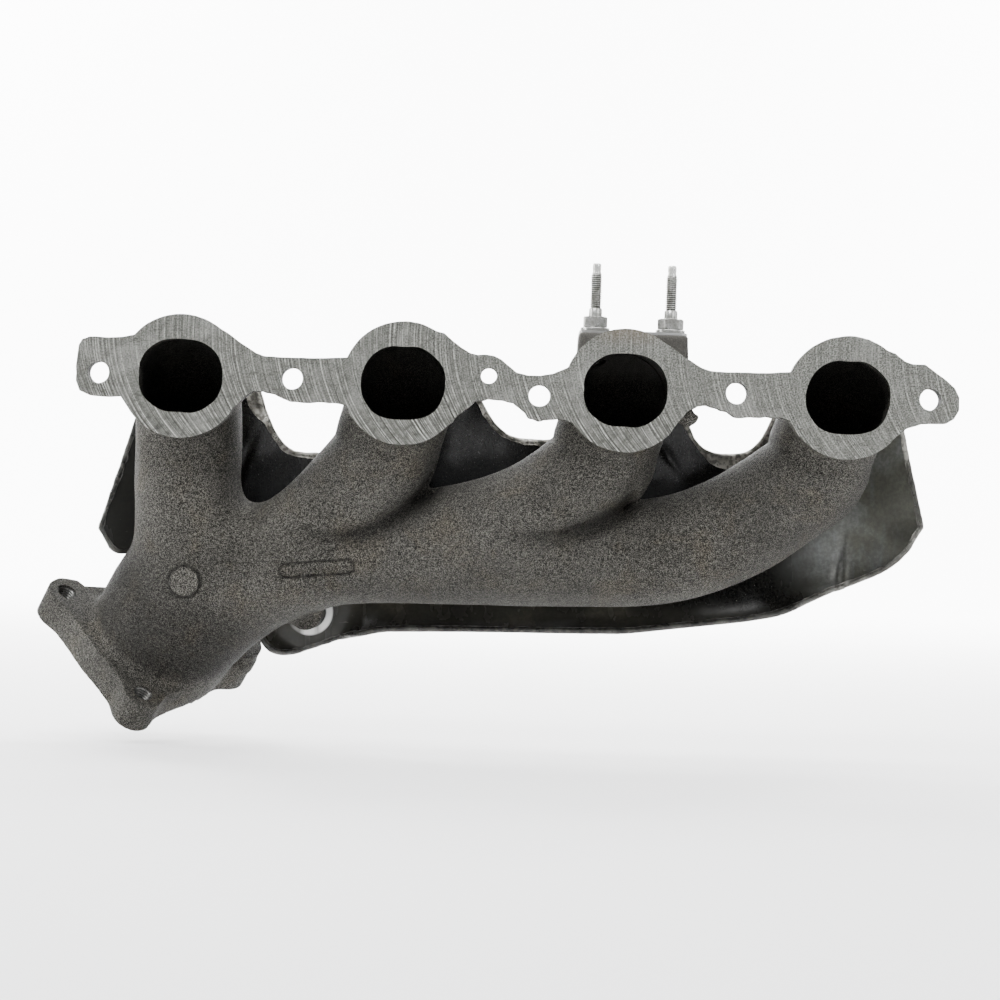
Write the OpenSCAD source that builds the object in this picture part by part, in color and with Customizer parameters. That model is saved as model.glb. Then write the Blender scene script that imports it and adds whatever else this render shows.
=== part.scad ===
// Four-port exhaust manifold: cast-iron log casting with a laminated sheet-steel heat shield.
// Frame: X runs along the crankshaft, Y points away from the cylinder head, Z points up.
// The origin lies on the machined head face, midway between ports 2 and 3.

/* [Head flange] */
// Distance between neighbouring ports
port_pitch = 111.76; // [105:0.01:118]
// Thickness of the head flange
flange_t = 11; // [8:0.5:14]
// Outer radius of the ring round each port
ring_r = 31; // [29:0.5:33]
// Width of a port opening
port_w = 42; // [36:0.5:43]
// Height of a port opening
port_h = 36.7; // [32:0.1:40]
// Diameter of the rounded sides of a port opening
port_round_d = 44; // [42:0.5:48]
// Diameter of the head bolt holes
bolt_d = 10.8; // [9:0.1:11.5]
// Diameter of the locating hole
locator_d = 8; // [6:0.5:9]

/* [Runners and log] */
// Outer radius of the runners
runner_r = 27; // [26:0.5:28]
// Outer radius of the log
log_r = 27.8; // [27:0.1:28.5]
// Wall thickness of the casting
wall = 5.2; // [4:0.1:6]
// Depth of the log's centre line behind the head face
log_y = 47; // [45:0.5:49]
// Height of the log's centre line, below the port centres
log_z = -82.4; // [-85:0.1:-80]

/* [Outlet] */
// Angle by which the outlet turns away from the head
outlet_pitch = -31.33; // [-36:0.01:-26]
// Heading of the outlet, seen along Y
outlet_yaw = -151; // [-155:0.5:-147]
// Thickness of the outlet flange
outlet_t = 18; // [14:0.5:20]
// Radius of the outlet bore
outlet_r = 28.5; // [26:0.5:29]
// Radius of the circle that the three tapped holes lie on
outlet_bolt_r = 49; // [48:0.5:51]
// Angle from the middle tapped hole to each of the outer two
outlet_spread = 101.5; // [98:0.5:105]
// Diameter of the tapped holes before threading
tapped_d = 8.6; // [8:0.1:9]

/* [Stud bolts] */
// Distance between the two stud bolts
stud_pitch = 38.6; // [36:0.1:40]
// Diameter of the stud thread
stud_d = 6; // [5:0.5:6]
// Length of the stud above its hexagon
stud_l = 27.4; // [22:0.1:32]
// Width across the flats of the hexagons
hex_w = 12; // [11:0.5:13]

/* [Heat shield] */
// Depth of the shield's flat back behind the head face
shield_y = 88; // [86:0.5:92]
// Thickness of the inner foil
foil_t = 0.5; // [0.3:0.1:0.8]
// Thickness of the insulating core
core_t = 1.4; // [1:0.1:2]
// Thickness of the outer skin
skin_t = 0.8; // [0.6:0.1:1.2]

/* [Hidden] */
$fn = 64;
eps = 0.01;

port_x = [for (i = [-1.5, -0.5, 0.5, 1.5]) i * port_pitch];
outer_bolt_x = 209;
inner_bolt_x = port_pitch;
outer_bolt_z = 0.5;
centre_bolt = [12.75, -4];
locator = [-13, 5.2];

// Runner elbows: from +Y down to the log's depth, each leaning towards the outlet
elbow_r = 38;
elbow_y = log_y - elbow_r;
mouth_depth = 9.6;
ring_steps = 12;
leans = [0, 20, 28, 28];
joint_slit = 0.02;
ball_proud = 0.3;

// Outlet frame: its local origin is on the casting side of the flange, local +Z leaves the outlet
outlet_pos = [-188.8, 80.5, -133.7];
neck_l = 64;
neck_r = 31;
ear_r = 9.5;
far_ear_r = 12.5;
disc_r = 37;
ear_angles = [for (s = [0, 1, -1]) 250.8 + s * outlet_spread];

// Stud boss behind port 3
boss_x = 59.7;
boss_w = 57.4;
boss_top = 29.5;
boss_y = [14, 42];
stud_y = 28;
tab_t = 1.5;
washer_t = 1.8;
washer_r = 7.5;
hex_h = 5.6;
stem_d = stud_d - 0.4;
stem_gap = 0.1;
stem_l = 15;

// Shield bolts: [x, z] of each boss
shield_bolts = [[-104.5, -119.7], [-167.6, -46], [140, -60]];
low_boss_y = shield_y - 9;
boss_start = 52;
pad_r = 8.5;
rib_t = 12;
rib_y = 18;
rib_z = 26;
cap_l = 12;

// ---------- Head flange ----------

module along_y(y0, y1) { translate([0, y1, 0]) rotate([90, 0, 0]) linear_extrude(y1 - y0) children(); }

// Points along an arc of the ring round a port, clockwise from angle a0 down to a1
function ring(x, a0, a1) = [for (i = [0:ring_steps]) let (a = a0 + (a1 - a0) * i / ring_steps)
    [x + ring_r * cos(a), ring_r * sin(a)]];
function shifted(points, x) = [for (p = points) [p.x + x, p.y]];

// Edges of the plain webs, from the port on their left
web_top = [[23, 22.3], [33, 15.6], [42, 11.5], [79, 11.7]];
web_bottom = [[79, -11.2], [55, -11.2], [48, -7.5], [37, -6], [31.5, -9.8]];
// Edges of the middle web, stepped past the locating hole and the centre bolt
middle_top = [[-36, 25.8], [-28, 20], [-19.3, 15.4], [-11.3, 15.6], [-5, 12.8], [-0.5, 8.4],
    [6.6, 5.9], [19.6, 7.1], [26.8, 10.6]];
middle_bottom = [[23.4, -16.4], [12, -16.2], [6.8, -14.4], [2.5, -9.5], [-3, -6.6], [-19.5, -7.3],
    [-24.4, -11.4]];
left_ear = [[-199, -11], [-214, -10.5], [-220, -5], [-219, 14.5], [-212.5, 18], [-198, 18.4]];
right_ear = [[191, 23], [198.5, 18], [206.6, 17.8], [210.2, 15], [219, 8.7], [223.7, 1],
    [223.4, -5], [217.6, -11.5], [205.6, -11.8], [197.6, -14.6]];

// The whole outline of the head flange, clockwise from the left ear
module flange_outline() {
    polygon(concat(left_ear,
        ring(port_x[0], 140, 52), shifted(web_top, port_x[0]),
        ring(port_x[1], 157, 60), middle_top,
        ring(port_x[2], 157, 52), shifted(web_top, port_x[2]),
        ring(port_x[3], 157, 52), right_ear,
        ring(port_x[3], -38, -156), shifted(web_bottom, port_x[2]),
        ring(port_x[2], -30, -146), middle_bottom,
        ring(port_x[1], -32, -156), shifted(web_bottom, port_x[0]),
        ring(port_x[0], -30, -142)));
}

module bolt_holes() {
    for (x = [-outer_bolt_x, -inner_bolt_x, inner_bolt_x, outer_bolt_x])
        translate([x, outer_bolt_z]) circle(d = bolt_d);
    translate(centre_bolt) circle(d = bolt_d);
    translate(locator) circle(d = locator_d);
}

module port_shape() {
    intersection() {
        circle(d = port_round_d);
        square([port_w, port_h], center = true);
    }
}

// ---------- Runners, log and collector ----------

// Arc of tube radius r from +X round to +Y, stopping just short of both ends
module arc_tube(r, bend, angle) {
    slit = joint_slit / bend * 57.3;
    rotate(slit) rotate_extrude(angle = angle - 2 * slit) translate([bend, 0]) rotate(180)
        circle(r = r);
}

// Ball that joins two tubes of radius r end to end
module ball(r) { sphere(r = r + ball_proud); }

// Elbow of tube radius r, from +Y to straight down, its centre line starting at the origin
module elbow(r) { translate([0, 0, -elbow_r]) rotate([90, 0, 90]) arc_tube(r, elbow_r, 90); }

// Sweep in the plane of the log, from a slant of lean degrees to horizontal
module sweep_to_log(r, lean, bend) {
    translate([-bend * cos(lean), 0, bend * sin(lean)]) rotate([90, 0, 0]) rotate([0, 0, -90])
        arc_tube(r, bend, 90 - lean);
}

// One runner: round the elbow, which starts inside the flange, then swept into the log
module bend(lean, r) {
    drop = -log_z - elbow_r * cos(lean);
    translate([0, elbow_y, 0]) rotate([0, lean, 0]) elbow(r);
    translate([-elbow_r * sin(lean), log_y, -elbow_r * cos(lean)]) {
        ball(r);
        if (lean > 0) sweep_to_log(r, lean, drop / (1 - sin(lean)));
        else translate([0, 0, -drop - 4]) cylinder(r = r, h = drop + 4 - joint_slit);
    }
}

module to_outlet() { translate(outlet_pos) rotate([outlet_pitch, outlet_yaw, 0]) children(); }

// Log, collector and outlet neck, all drawn smaller by grow to make the passage
module log_and_neck(grow) {
    log_ends = [-162, 67];
    translate([log_ends[0], log_y, log_z]) rotate([0, 90, 0])
        cylinder(r = log_r - grow, h = log_ends[1] - log_ends[0]);
    translate([log_ends[1], log_y, log_z]) ball(log_r - grow);
    to_outlet() {
        translate([0, 0, -neck_l]) sphere(r = neck_r - grow);
        translate([0, 0, -neck_l]) cylinder(r1 = neck_r - grow, r2 = neck_r + 1 - grow, h = neck_l + 1);
        translate([-14, 0, -54]) rotate([0, 9, 0]) cylinder(r = log_r - grow, h = 55);
    }
}

module runner_bends(grow) {
    for (i = [0:3]) translate([port_x[i], 0, 0]) bend(leans[i], runner_r - grow);
}

// ---------- Outlet flange ----------

module outlet_outline() {
    corner = [for (i = [0:2]) outlet_bolt_r * [cos(ear_angles[i]), sin(ear_angles[i])]];
    radii = [ear_r, ear_r, far_ear_r];
    circle(r = disc_r);
    for (i = [0:2]) {
        a = ear_angles[i];
        translate(corner[i]) circle(r = radii[i]);
        rotate(a) polygon([[22, -30], [outlet_bolt_r - 3, -radii[i] + 0.3],
            [outlet_bolt_r - 3, radii[i] - 0.3], [22, 30]]);
    }
}

// ---------- Bosses ----------

// Bosses for the shield bolts; the first hangs below the log on a rib
module shield_bosses() {
    for (i = [0:2]) translate([shield_bolts[i][0], boss_start, shield_bolts[i][1]]) rotate([-90, 0, 0])
        cylinder(r = pad_r, h = boss_face(i) - boss_start);
    translate([shield_bolts[0][0] - rib_t / 2, boss_start + 1, shield_bolts[0][1]])
        cube([rib_t, rib_y, rib_z]);
}

function boss_face(i) = (i == 0 ? low_boss_y : shield_y) - 0.02;

module stud_holes(d, l) {
    for (s = [-1, 1]) translate([boss_x + s * stud_pitch / 2, stud_y, boss_top - l])
        cylinder(d = d, h = l + 1);
}

module whole_casting() {
    difference() {
        union() {
            along_y(0, flange_t) flange_outline();
            runner_bends(0);
            log_and_neck(0);
            to_outlet() {
                linear_extrude(outlet_t) outlet_outline();
                translate([0, 0, -8]) cylinder(r1 = neck_r, r2 = disc_r - 1, h = 8 + eps);
            }
            translate([boss_x - boss_w / 2, boss_y[0], 6])
                cube([boss_w, boss_y[1] - boss_y[0], boss_top - 6]);
            shield_bosses();
        }
        along_y(-1, flange_t + 1) bolt_holes();
        for (x = port_x) along_y(-1, mouth_depth) translate([x, 0]) port_shape();
        runner_bends(wall);
        log_and_neck(wall);
        to_outlet() {
            translate([0, 0, -6]) cylinder(r = outlet_r, h = outlet_t + 7);
            for (a = ear_angles) rotate(a) translate([outlet_bolt_r, 0, -9])
                cylinder(d = tapped_d, h = outlet_t + 10);
        }
        stud_holes(stem_d + 2 * stem_gap, stem_l + 2);
        for (i = [0:2]) translate([shield_bolts[i][0], boss_face(i) - cap_l, shield_bolts[i][1]])
            rotate([-90, 0, 0]) cylinder(d = stud_d + 2 * stem_gap, h = cap_l + 1);
    }
}

// The casting is one piece of iron. It is stored as seven nodes that meet face to face.
split_y = flange_t + 1;
split_z = -54;
split_low = [-300, -129, -35, 73, 300];
split_high = [-300, -112, 10, 116, 300];

module casting_part(y0, y1, outline) {
    color("dimgray") intersection() {
        whole_casting();
        along_y(y0, y1) polygon(outline);
    }
}

module casting_head_flange() {
    casting_part(-1, split_y, [[-300, -200], [300, -200], [300, 100], [-300, 100]]);
}

module casting_runner(i) {
    casting_part(split_y, 200, [[split_low[i], split_z], [split_low[i + 1], split_z],
        [split_high[i + 1], 60], [split_high[i], 60]]);
}

module casting_log() {
    casting_part(split_y, 200, [[split_low[1], -250], [300, -250], [300, split_z], [split_low[1], split_z]]);
}

module casting_outlet() {
    casting_part(split_y, 200, [[-300, -250], [split_low[1], -250], [split_low[1], split_z], [-300, split_z]]);
}

// ---------- Heat shield ----------

function clamp01(v) = max(0, min(1, v));
function ease(v) = let (c = clamp01(v)) c * c * (3 - 2 * c);
function mix(a, b, t) = a + (b - a) * t;

// Lower edge of the shield along X, with the arch round the outlet neck
lower_edge = [[-215, -76], [-212, -87], [-200, -90], [-192, -77], [-178, -66], [-150, -66],
    [-138, -84], [-130, -128], [-120, -141], [-104, -139], [-82, -130], [-62, -125.5], [60, -123],
    [100, -118], [143, -111], [166, -101], [198, -88], [211, -77], [217, -62]];

// Upper edge: a lobe over each runner and a notch between neighbours
notches = [-108, 5, 109];
lobe_top = 13;
notch_depth = 46;
function notch_gap(x) = min([for (n = notches) abs(x - n)]);
function upper_edge(x) = lobe_top - notch_depth * (1 - ease((notch_gap(x) - 10) / 22))
    - 18 * ease((abs(x - 2) - 172) / 30);

// Depth of the inner face at a point: a wrapped lower lip, a flat back and a top that follows the elbows
back_top = -38;
back_low = -80;
crown_r = shield_y - elbow_y;
function lip(x, z) = let (reach = back_low - lookup(x, lower_edge) + 3)
    52 + (shield_y - 52) * sqrt(max(0.05, 1 - pow((z - back_low) / max(reach, 30), 2)));
function profile(x, z) = z < back_low ? lip(x, z)
    : z < back_top ? shield_y
    : elbow_y + sqrt(pow(crown_r, 2) - pow(z - back_top, 2));
function end_curl(x) = 20 * pow(ease((abs(x - 1) - 168) / 60), 1.2);
function low_pad(x, z) = ease((30 - norm([x, z] - shield_bolts[0])) / 10);
function depth(x, z) = mix(profile(x, z) - end_curl(x), low_boss_y, low_pad(x, z));

columns = 54;
rows = 13;
function column(i, s) = let (u = i / columns, xb = mix(-215, 217, u), xt = mix(-193, 203, u),
    zb = lookup(xb, lower_edge), zt = upper_edge(xt)) [mix(xb, xt, s), mix(zb, zt, s)];
function row_share(j) = let (v = j / rows) mix(v, v * v, 0.35);
function tilt(p) = [(depth(p.x + 0.5, p.y) - depth(p.x - 0.5, p.y)),
                    (depth(p.x, p.y + 0.5) - depth(p.x, p.y - 0.5))];
// A point of the sheet, lifted off the inner face along its normal
function sheet_point(i, j, lift) = let (p = column(i, row_share(j)), g = tilt(p),
    n = [-g.x, 1, -g.y] / norm([g.x, 1, g.y])) [p.x, depth(p.x, p.y), p.y] + lift * n;

// One layer of the shield between two lifts, as a closed shell of quads
module layer(low, high) {
    w = rows + 1;
    count = (columns + 1) * w;
    points = [for (lift = [low, high]) for (i = [0:columns]) for (j = [0:rows]) sheet_point(i, j, lift)];
    function at(i, j, k) = k * count + i * w + j;
    faces = concat(
        [for (i = [0:columns - 1]) for (j = [0:rows - 1]) each [
            [at(i, j, 0), at(i + 1, j, 0), at(i + 1, j + 1, 0)],
            [at(i, j, 0), at(i + 1, j + 1, 0), at(i, j + 1, 0)],
            [at(i, j, 1), at(i + 1, j + 1, 1), at(i + 1, j, 1)],
            [at(i, j, 1), at(i, j + 1, 1), at(i + 1, j + 1, 1)]]],
        [for (i = [0:columns - 1]) each [
            [at(i, 0, 0), at(i, 0, 1), at(i + 1, 0, 1)], [at(i, 0, 0), at(i + 1, 0, 1), at(i + 1, 0, 0)],
            [at(i, rows, 1), at(i, rows, 0), at(i + 1, rows, 0)],
            [at(i, rows, 1), at(i + 1, rows, 0), at(i + 1, rows, 1)]]],
        [for (j = [0:rows - 1]) each [
            [at(0, j, 1), at(0, j, 0), at(0, j + 1, 0)], [at(0, j, 1), at(0, j + 1, 0), at(0, j + 1, 1)],
            [at(columns, j, 0), at(columns, j, 1), at(columns, j + 1, 1)],
            [at(columns, j, 0), at(columns, j + 1, 1), at(columns, j + 1, 0)]]]);
    difference() {
        polyhedron(points, faces);
        for (b = shield_bolts) translate([b[0], 60, b[1]]) rotate([-90, 0, 0])
            cylinder(d = stud_d + 0.8, h = 60);
    }
}

module heat_shield_inner() { color([0.25, 0.26, 0.27]) layer(0, foil_t); }
module heat_shield_core() { color("silver") layer(foil_t, foil_t + core_t); }
module heat_shield_outer() { color([0.55, 0.56, 0.58]) layer(foil_t + core_t, foil_t + core_t + skin_t); }

// Tab from the stud boss back to the top of the shield's third lobe
module shield_tab() {
    top = boss_top + tab_t;
    foot = [elbow_y + crown_r * cos(40), back_top + crown_r * sin(40)];
    color("silver") difference() {
        translate([boss_x - boss_w / 2 + 1, 0, 0]) rotate([90, 0, 90]) linear_extrude(boss_w - 2)
            polygon([[18, boss_top], [46, boss_top], [foot.x + 3.4, foot.y], [foot.x + 4.9, foot.y],
                [47, top], [18, top]]);
        translate([0, 0, 4]) stud_holes(stud_d + 0.8, 12);
    }
}

// ---------- Fasteners ----------

module stud_bolt(side) {
    seat = boss_top + tab_t + washer_t;
    dog_l = 5;
    shank_l = 4.5;
    color("gainsboro") translate([boss_x + side * stud_pitch / 2, stud_y, seat]) {
        cylinder(d = hex_w / cos(30), h = hex_h, $fn = 6);
        translate([0, 0, hex_h]) cylinder(d = stud_d + 0.8, h = shank_l);
        translate([0, 0, hex_h]) cylinder(d = stud_d, h = stud_l - dog_l);
        translate([0, 0, hex_h]) cylinder(d = stud_d - 1.7, h = stud_l);
        translate([0, 0, boss_top - seat - stem_l]) cylinder(d = stem_d, h = seat - boss_top + stem_l + eps);
    }
}

module washer(r) {
    difference() {
        cylinder(r = r, h = washer_t);
        translate([0, 0, -1]) cylinder(d = stud_d + 0.6, h = washer_t + 2);
    }
}

module stud_washer(side) {
    color("gainsboro") translate([boss_x + side * stud_pitch / 2, stud_y, boss_top + tab_t]) washer(washer_r);
}

// Places a fastener on the outside of the shield, at bolt i, with +Z pointing outwards
module at_shield_bolt(i) {
    face = (i == 0 ? low_boss_y : shield_y) + foil_t + core_t + skin_t + 0.02;
    translate([shield_bolts[i][0], face, shield_bolts[i][1]]) rotate([-90, 0, 0]) children();
}

module shield_bolt(i) {
    color("gray") at_shield_bolt(i) translate([0, 0, washer_t]) {
        cylinder(r = hex_w / 2 + 1.2, h = 1.4);
        cylinder(d = (hex_w - 2) / cos(30), h = hex_h, $fn = 6);
        translate([0, 0, -cap_l - 1]) cylinder(d = stud_d, h = cap_l + 1 + eps);
    }
}

module shield_washer(i) { color("silver") at_shield_bolt(i) washer(9.5); }

casting_head_flange();
casting_runner(0);  // casting_runner_1
casting_runner(1);  // casting_runner_2
casting_runner(2);  // casting_runner_3
casting_runner(3);  // casting_runner_4
casting_log();
casting_outlet();
heat_shield_outer();
heat_shield_core();
heat_shield_inner();
shield_tab();
stud_bolt(-1);  // stud_bolt_left
stud_bolt(1);  // stud_bolt_right
stud_washer(-1);  // stud_washer_left
stud_washer(1);  // stud_washer_right
shield_bolt(0);  // shield_bolt_1
shield_bolt(1);  // shield_bolt_2
shield_bolt(2);  // shield_bolt_3
shield_washer(0);  // shield_washer_1
shield_washer(1);  // shield_washer_2
shield_washer(2);  // shield_washer_3
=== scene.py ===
"""Exhaust manifold with a laminated heat shield: looks and stage, in the CAD part's frame."""

import functools
import math

import bpy
import numpy as np
from mathutils import Matrix, Vector


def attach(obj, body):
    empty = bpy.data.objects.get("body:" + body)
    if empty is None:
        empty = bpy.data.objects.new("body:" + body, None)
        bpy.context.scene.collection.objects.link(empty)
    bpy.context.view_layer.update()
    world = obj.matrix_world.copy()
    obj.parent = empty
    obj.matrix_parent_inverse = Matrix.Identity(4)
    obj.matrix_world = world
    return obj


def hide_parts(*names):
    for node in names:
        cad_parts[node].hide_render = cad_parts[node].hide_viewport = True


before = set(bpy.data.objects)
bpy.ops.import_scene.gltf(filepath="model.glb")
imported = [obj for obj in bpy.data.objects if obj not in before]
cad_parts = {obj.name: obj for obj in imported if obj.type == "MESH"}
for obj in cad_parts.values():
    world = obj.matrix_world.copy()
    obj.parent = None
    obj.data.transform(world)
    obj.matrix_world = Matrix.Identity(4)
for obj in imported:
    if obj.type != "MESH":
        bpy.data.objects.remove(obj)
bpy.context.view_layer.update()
MM = 0.001
CASTING = ["casting_" + part for part in
           ("head_flange", "runner_1", "runner_2", "runner_3", "runner_4", "log", "outlet")]

# ---- measures, in millimetres

# head flange, its ports and holes, and the runners' elbows
PITCH = 111.76
PORT_X = [i * PITCH for i in (-1.5, -0.5, 0.5, 1.5)]
PORT_HALF = np.array([21.2, 18.35])
PORT_CORNER = 17.3
FLANGE_T = 11.0
WALL = 5.2
MOUTH_R, BEND_R = 27.2, 27.4
ELBOW_R = 38.0
ELBOW_Y = 9.0
BOLTS = [(-209.0, 0.5), (-111.76, 0.5), (111.76, 0.5), (209.0, 0.5), (12.75, -4.0)]
BOLT_R = 5.4
LOCATOR = (-13.0, 5.2)
LOCATOR_R = 4.0

# outlet flange: centre of its casting-side face, outward normal, its own u and v, and its three ears
OUT_POS = np.array([-188.8, 80.5, -133.7])
OUT_N = np.array([-0.4141, 0.52, -0.7471])
OUT_U = np.array([-0.8746, 0.0, 0.4848])
OUT_V = np.array([0.2521, 0.8542, 0.4548])
OUT_T = 18.0
OUT_R = 28.5
OUT_PLATE_R = 38.3
EAR_AT = 49.0
EARS = [math.radians(a) for a in (250.8, 352.3, 149.3)]
EAR_R = [9.8, 9.6, 12.0]
TAPPED_R = 5.0

# places of the shield's bolts in x and z, the stud boss and its two studs, and sheet thicknesses
SHIELD_BOLTS = [(-104.5, -119.7), (-167.6, -46.0), (140.0, -60.0)]
SHIELD_BOSS_R = 8.3
BOSS_X, BOSS_Y0, BOSS_Y1, BOSS_TOP = 59.7, 14.0, 42.0, 29.5
STUD_Y, STUD_PITCH = 28.0, 38.6
TAB_T, WASHER_T, SHEET_T = 1.5, 1.8, 2.7
# folds below runners 2 and 3, arcs in x and z: centre x, centre z, radius, x where it fades, x of the crotch
FOLDS = [(-92.6, -15.5, 62.0, -118.0, -41.0), (8.2, 4.0, 78.8, -14.0, 61.0)]
# raised round pad on runner 1: x, z, radius
PAD = (-165.3, -104.0, 7.6)
# plain stadium recess on the log: x, z, half length, radius, slope
INSET = (-97.5, -95.0, 15.5, 3.9, 0.10)


# ---- small helpers

def ease(v):
    v = np.clip(v, 0.0, 1.0)
    return v * v * (3 - 2 * v)


def smin(a, b, k):
    """Smooth minimum of two distances, with a fillet of about k."""
    h = np.maximum(k - np.abs(a - b), 0) / k
    return np.minimum(a, b) - h * h * k * 0.25


def smax(a, b, k):
    return -smin(-a, -b, k)


def rounded(a, b, r):
    """Where both distances are negative, with the edge between them rounded to r."""
    a, b = a + r, b + r
    return np.hypot(np.maximum(a, 0), np.maximum(b, 0)) + np.minimum(np.maximum(a, b), 0) - r


def spline(points, step=4.0):
    """Catmull-Rom curve through the rows of points, which may carry extra columns such as a radius."""
    p = np.array(points, float)
    p = np.vstack([2 * p[0] - p[1], p, 2 * p[-1] - p[-2]])
    out = []
    for i in range(1, len(p) - 2):
        a, b, c, d = p[i - 1], p[i], p[i + 1], p[i + 2]
        n = max(2, int(np.linalg.norm((c - b)[:3]) / step))
        for j in range(n):
            t = j / n
            out.append(0.5 * (2 * b + (c - a) * t + (2 * a - 5 * b + 4 * c - d) * t * t
                              + (3 * b - a - 3 * c + d) * t ** 3))
    out.append(p[-2])
    return np.array(out)


@functools.lru_cache(None)
def lattice(seed, n=32):
    return np.random.default_rng(seed).random((n, n, n), dtype=np.float32) * 2 - 1


def value_noise(P, scale, seed=0):
    """Smooth noise in -1..1 with features about scale long."""
    L = lattice(seed)
    q = P / scale
    i = np.floor(q).astype(np.int32)
    f = (q - i).astype(np.float32)
    f = f * f * (3 - 2 * f)
    n = L.shape[0]
    a, b = i % n, (i + 1) % n
    x0, y0, z0, x1, y1, z1 = a[:, 0], a[:, 1], a[:, 2], b[:, 0], b[:, 1], b[:, 2]
    fx, fy, fz = f[:, 0], f[:, 1], f[:, 2]
    c00 = L[x0, y0, z0] * (1 - fx) + L[x1, y0, z0] * fx
    c10 = L[x0, y1, z0] * (1 - fx) + L[x1, y1, z0] * fx
    c01 = L[x0, y0, z1] * (1 - fx) + L[x1, y0, z1] * fx
    c11 = L[x0, y1, z1] * (1 - fx) + L[x1, y1, z1] * fx
    return (c00 * (1 - fy) + c10 * fy) * (1 - fz) + (c01 * (1 - fy) + c11 * fy) * fz


# ---- casting as a distance field

FAR = 40.0


def tube(P, path):
    """Distance to a tube whose path rows are x, y, z, radius."""
    d = np.full(len(P), FAR, np.float32)
    lo, hi = P.min(0), P.max(0)
    for a, b in zip(path[:-1], path[1:]):
        pad = max(a[3], b[3]) + 22
        if np.any(np.minimum(a[:3], b[:3]) - pad > hi) or np.any(np.maximum(a[:3], b[:3]) + pad < lo):
            continue
        ab = (b - a)[:3].astype(np.float32)
        w = P - a[:3].astype(np.float32)
        t = np.clip(w @ ab / float(ab @ ab), 0, 1)
        w -= t[:, None] * ab
        d = np.minimum(d, np.sqrt(np.einsum("ij,ij->i", w, w)) - (a[3] + (b[3] - a[3]) * t))
    return d


def runner(px, side, reach, tail):
    """Runner path: out of the head along +Y, round a leaning elbow, then the tail of (offset, y, z, r)."""
    rows = [(px, -6, 0, MOUTH_R), (px, ELBOW_Y, 0, MOUTH_R)]
    for a in (18, 36, 54, 72, 90):
        s, c = math.sin(math.radians(a)), math.cos(math.radians(a))
        drop = ELBOW_R * (1 - c)
        rows.append((px + side * drop / ELBOW_R, ELBOW_Y + reach * s, -drop, BEND_R))
    rows += [(px + o, y, z, r) for o, y, z, r in tail]
    return spline(rows)


# The second and third runners come down in front of the log and sink into it
RUNNERS = [
    runner(PORT_X[0], 0.0, 38, [
        (0, 47, -52, 27.4), (1, 47.5, -70, 27.8), (1, 50, -86, 28.6), (-3, 56.5, -100, 29.6),
        (-11, 66, -114, 30.8), (-21, 80, -134, 32.0)]),
    runner(PORT_X[1], -11.0, 32, [
        (-21, 40.5, -51.5, 27.4), (-34.6, 40.5, -67, 27.4), (-50, 42.5, -80, 26.6), (-70, 49, -92, 26.0),
        (-92, 60, -108, 25)]),
    runner(PORT_X[2], -11.0, 31, [
        (-27, 39.5, -52.5, 27.4), (-46, 39.0, -64.5, 27.2), (-68, 41.0, -72.5, 26.6), (-94, 47.5, -78, 26.0),
        (-124, 55, -82, 25)]),
    runner(PORT_X[3], -11.0, 38, [
        (-27, 47.5, -51, 27.4), (-50, 48.5, -66.4, 27.5), (-74, 50.5, -76.6, 27.7), (-99, 51.5, -82, 27.8),
        (-140, 51.5, -83.4, 27.9), (-198, 49.5, -84.2, 28.0), (-254.6, 47, -85.6, 28.5),
        (-289.6, 50, -96, 29.4), (-313.6, 58.5, -110, 30.2), (-331, 68, -124.5, 31.2),
        (-346, 80, -140, 31.5)]),
]


def ring(x, a0, a1, r=31.0, steps=16):
    a = np.radians(np.linspace(a0, a1, steps + 1))
    return [(x + r * math.cos(t), r * math.sin(t)) for t in a]


def shifted(points, x):
    return [(p[0] + x, p[1]) for p in points]


def flange_polygon():
    """Outline of the head flange in x, z, clockwise from the left ear."""
    left_ear = [(-197.6, -10.9), (-205, -11.6), (-213, -11.2), (-218, -9), (-220, -4.5), (-220.3, 4),
                (-219.2, 14), (-217.6, 17), (-213.5, 18.4), (-205, 18.2), (-197.6, 18.6)]
    web_top = [(22.6, 22.5), (28, 18.6), (33, 15.5), (37.5, 12.8), (42, 11.3), (50, 11.0), (60, 11.1),
               (72, 11.2), (79, 11.9)]
    web_bottom = [(79, -11.4), (66, -11.6), (55, -11.2), (50.5, -9.2), (47, -7.4), (41, -6.6),
                  (36.6, -7.0), (31.5, -9.8)]
    middle_top = [(-36, 25.6), (-31.5, 22), (-27, 18.8), (-22.6, 16.3), (-19.3, 15.5), (-14.5, 15.7),
                  (-10.6, 15.3), (-6.6, 13.4), (-3, 10.4), (1, 7.3), (6.6, 5.9), (13, 6.2), (19.6, 7.4),
                  (26.8, 10.8)]
    middle_bottom = [(22.5, -15.6), (17, -16.4), (12, -16.5), (6.8, -14.8), (2.8, -10.8), (-0.8, -8.1),
                     (-6, -6.9), (-13, -6.9), (-19, -7.9), (-24.4, -11.6)]
    right_ear = [(190.6, 23.2), (196, 19.2), (199.5, 18), (206, 17.8), (210, 15.2), (216.6, 10.6),
                 (221, 6.6), (223.4, 2), (223.5, -4.6), (221, -9), (217.4, -11.4), (205.6, -11.8),
                 (197.6, -14.6)]
    pts = []
    for part in (left_ear, ring(PORT_X[0], 140, 52), shifted(web_top, PORT_X[0]),
                 ring(PORT_X[1], 157, 60), middle_top,
                 ring(PORT_X[2], 157, 52), shifted(web_top, PORT_X[2]),
                 ring(PORT_X[3], 157, 52), right_ear,
                 ring(PORT_X[3], -38, -156), shifted(web_bottom, PORT_X[2]),
                 ring(PORT_X[2], -30, -146), middle_bottom,
                 ring(PORT_X[1], -32, -156), shifted(web_bottom, PORT_X[0]),
                 ring(PORT_X[0], -30, -142)):
        pts += part
    return np.array(pts)


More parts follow.
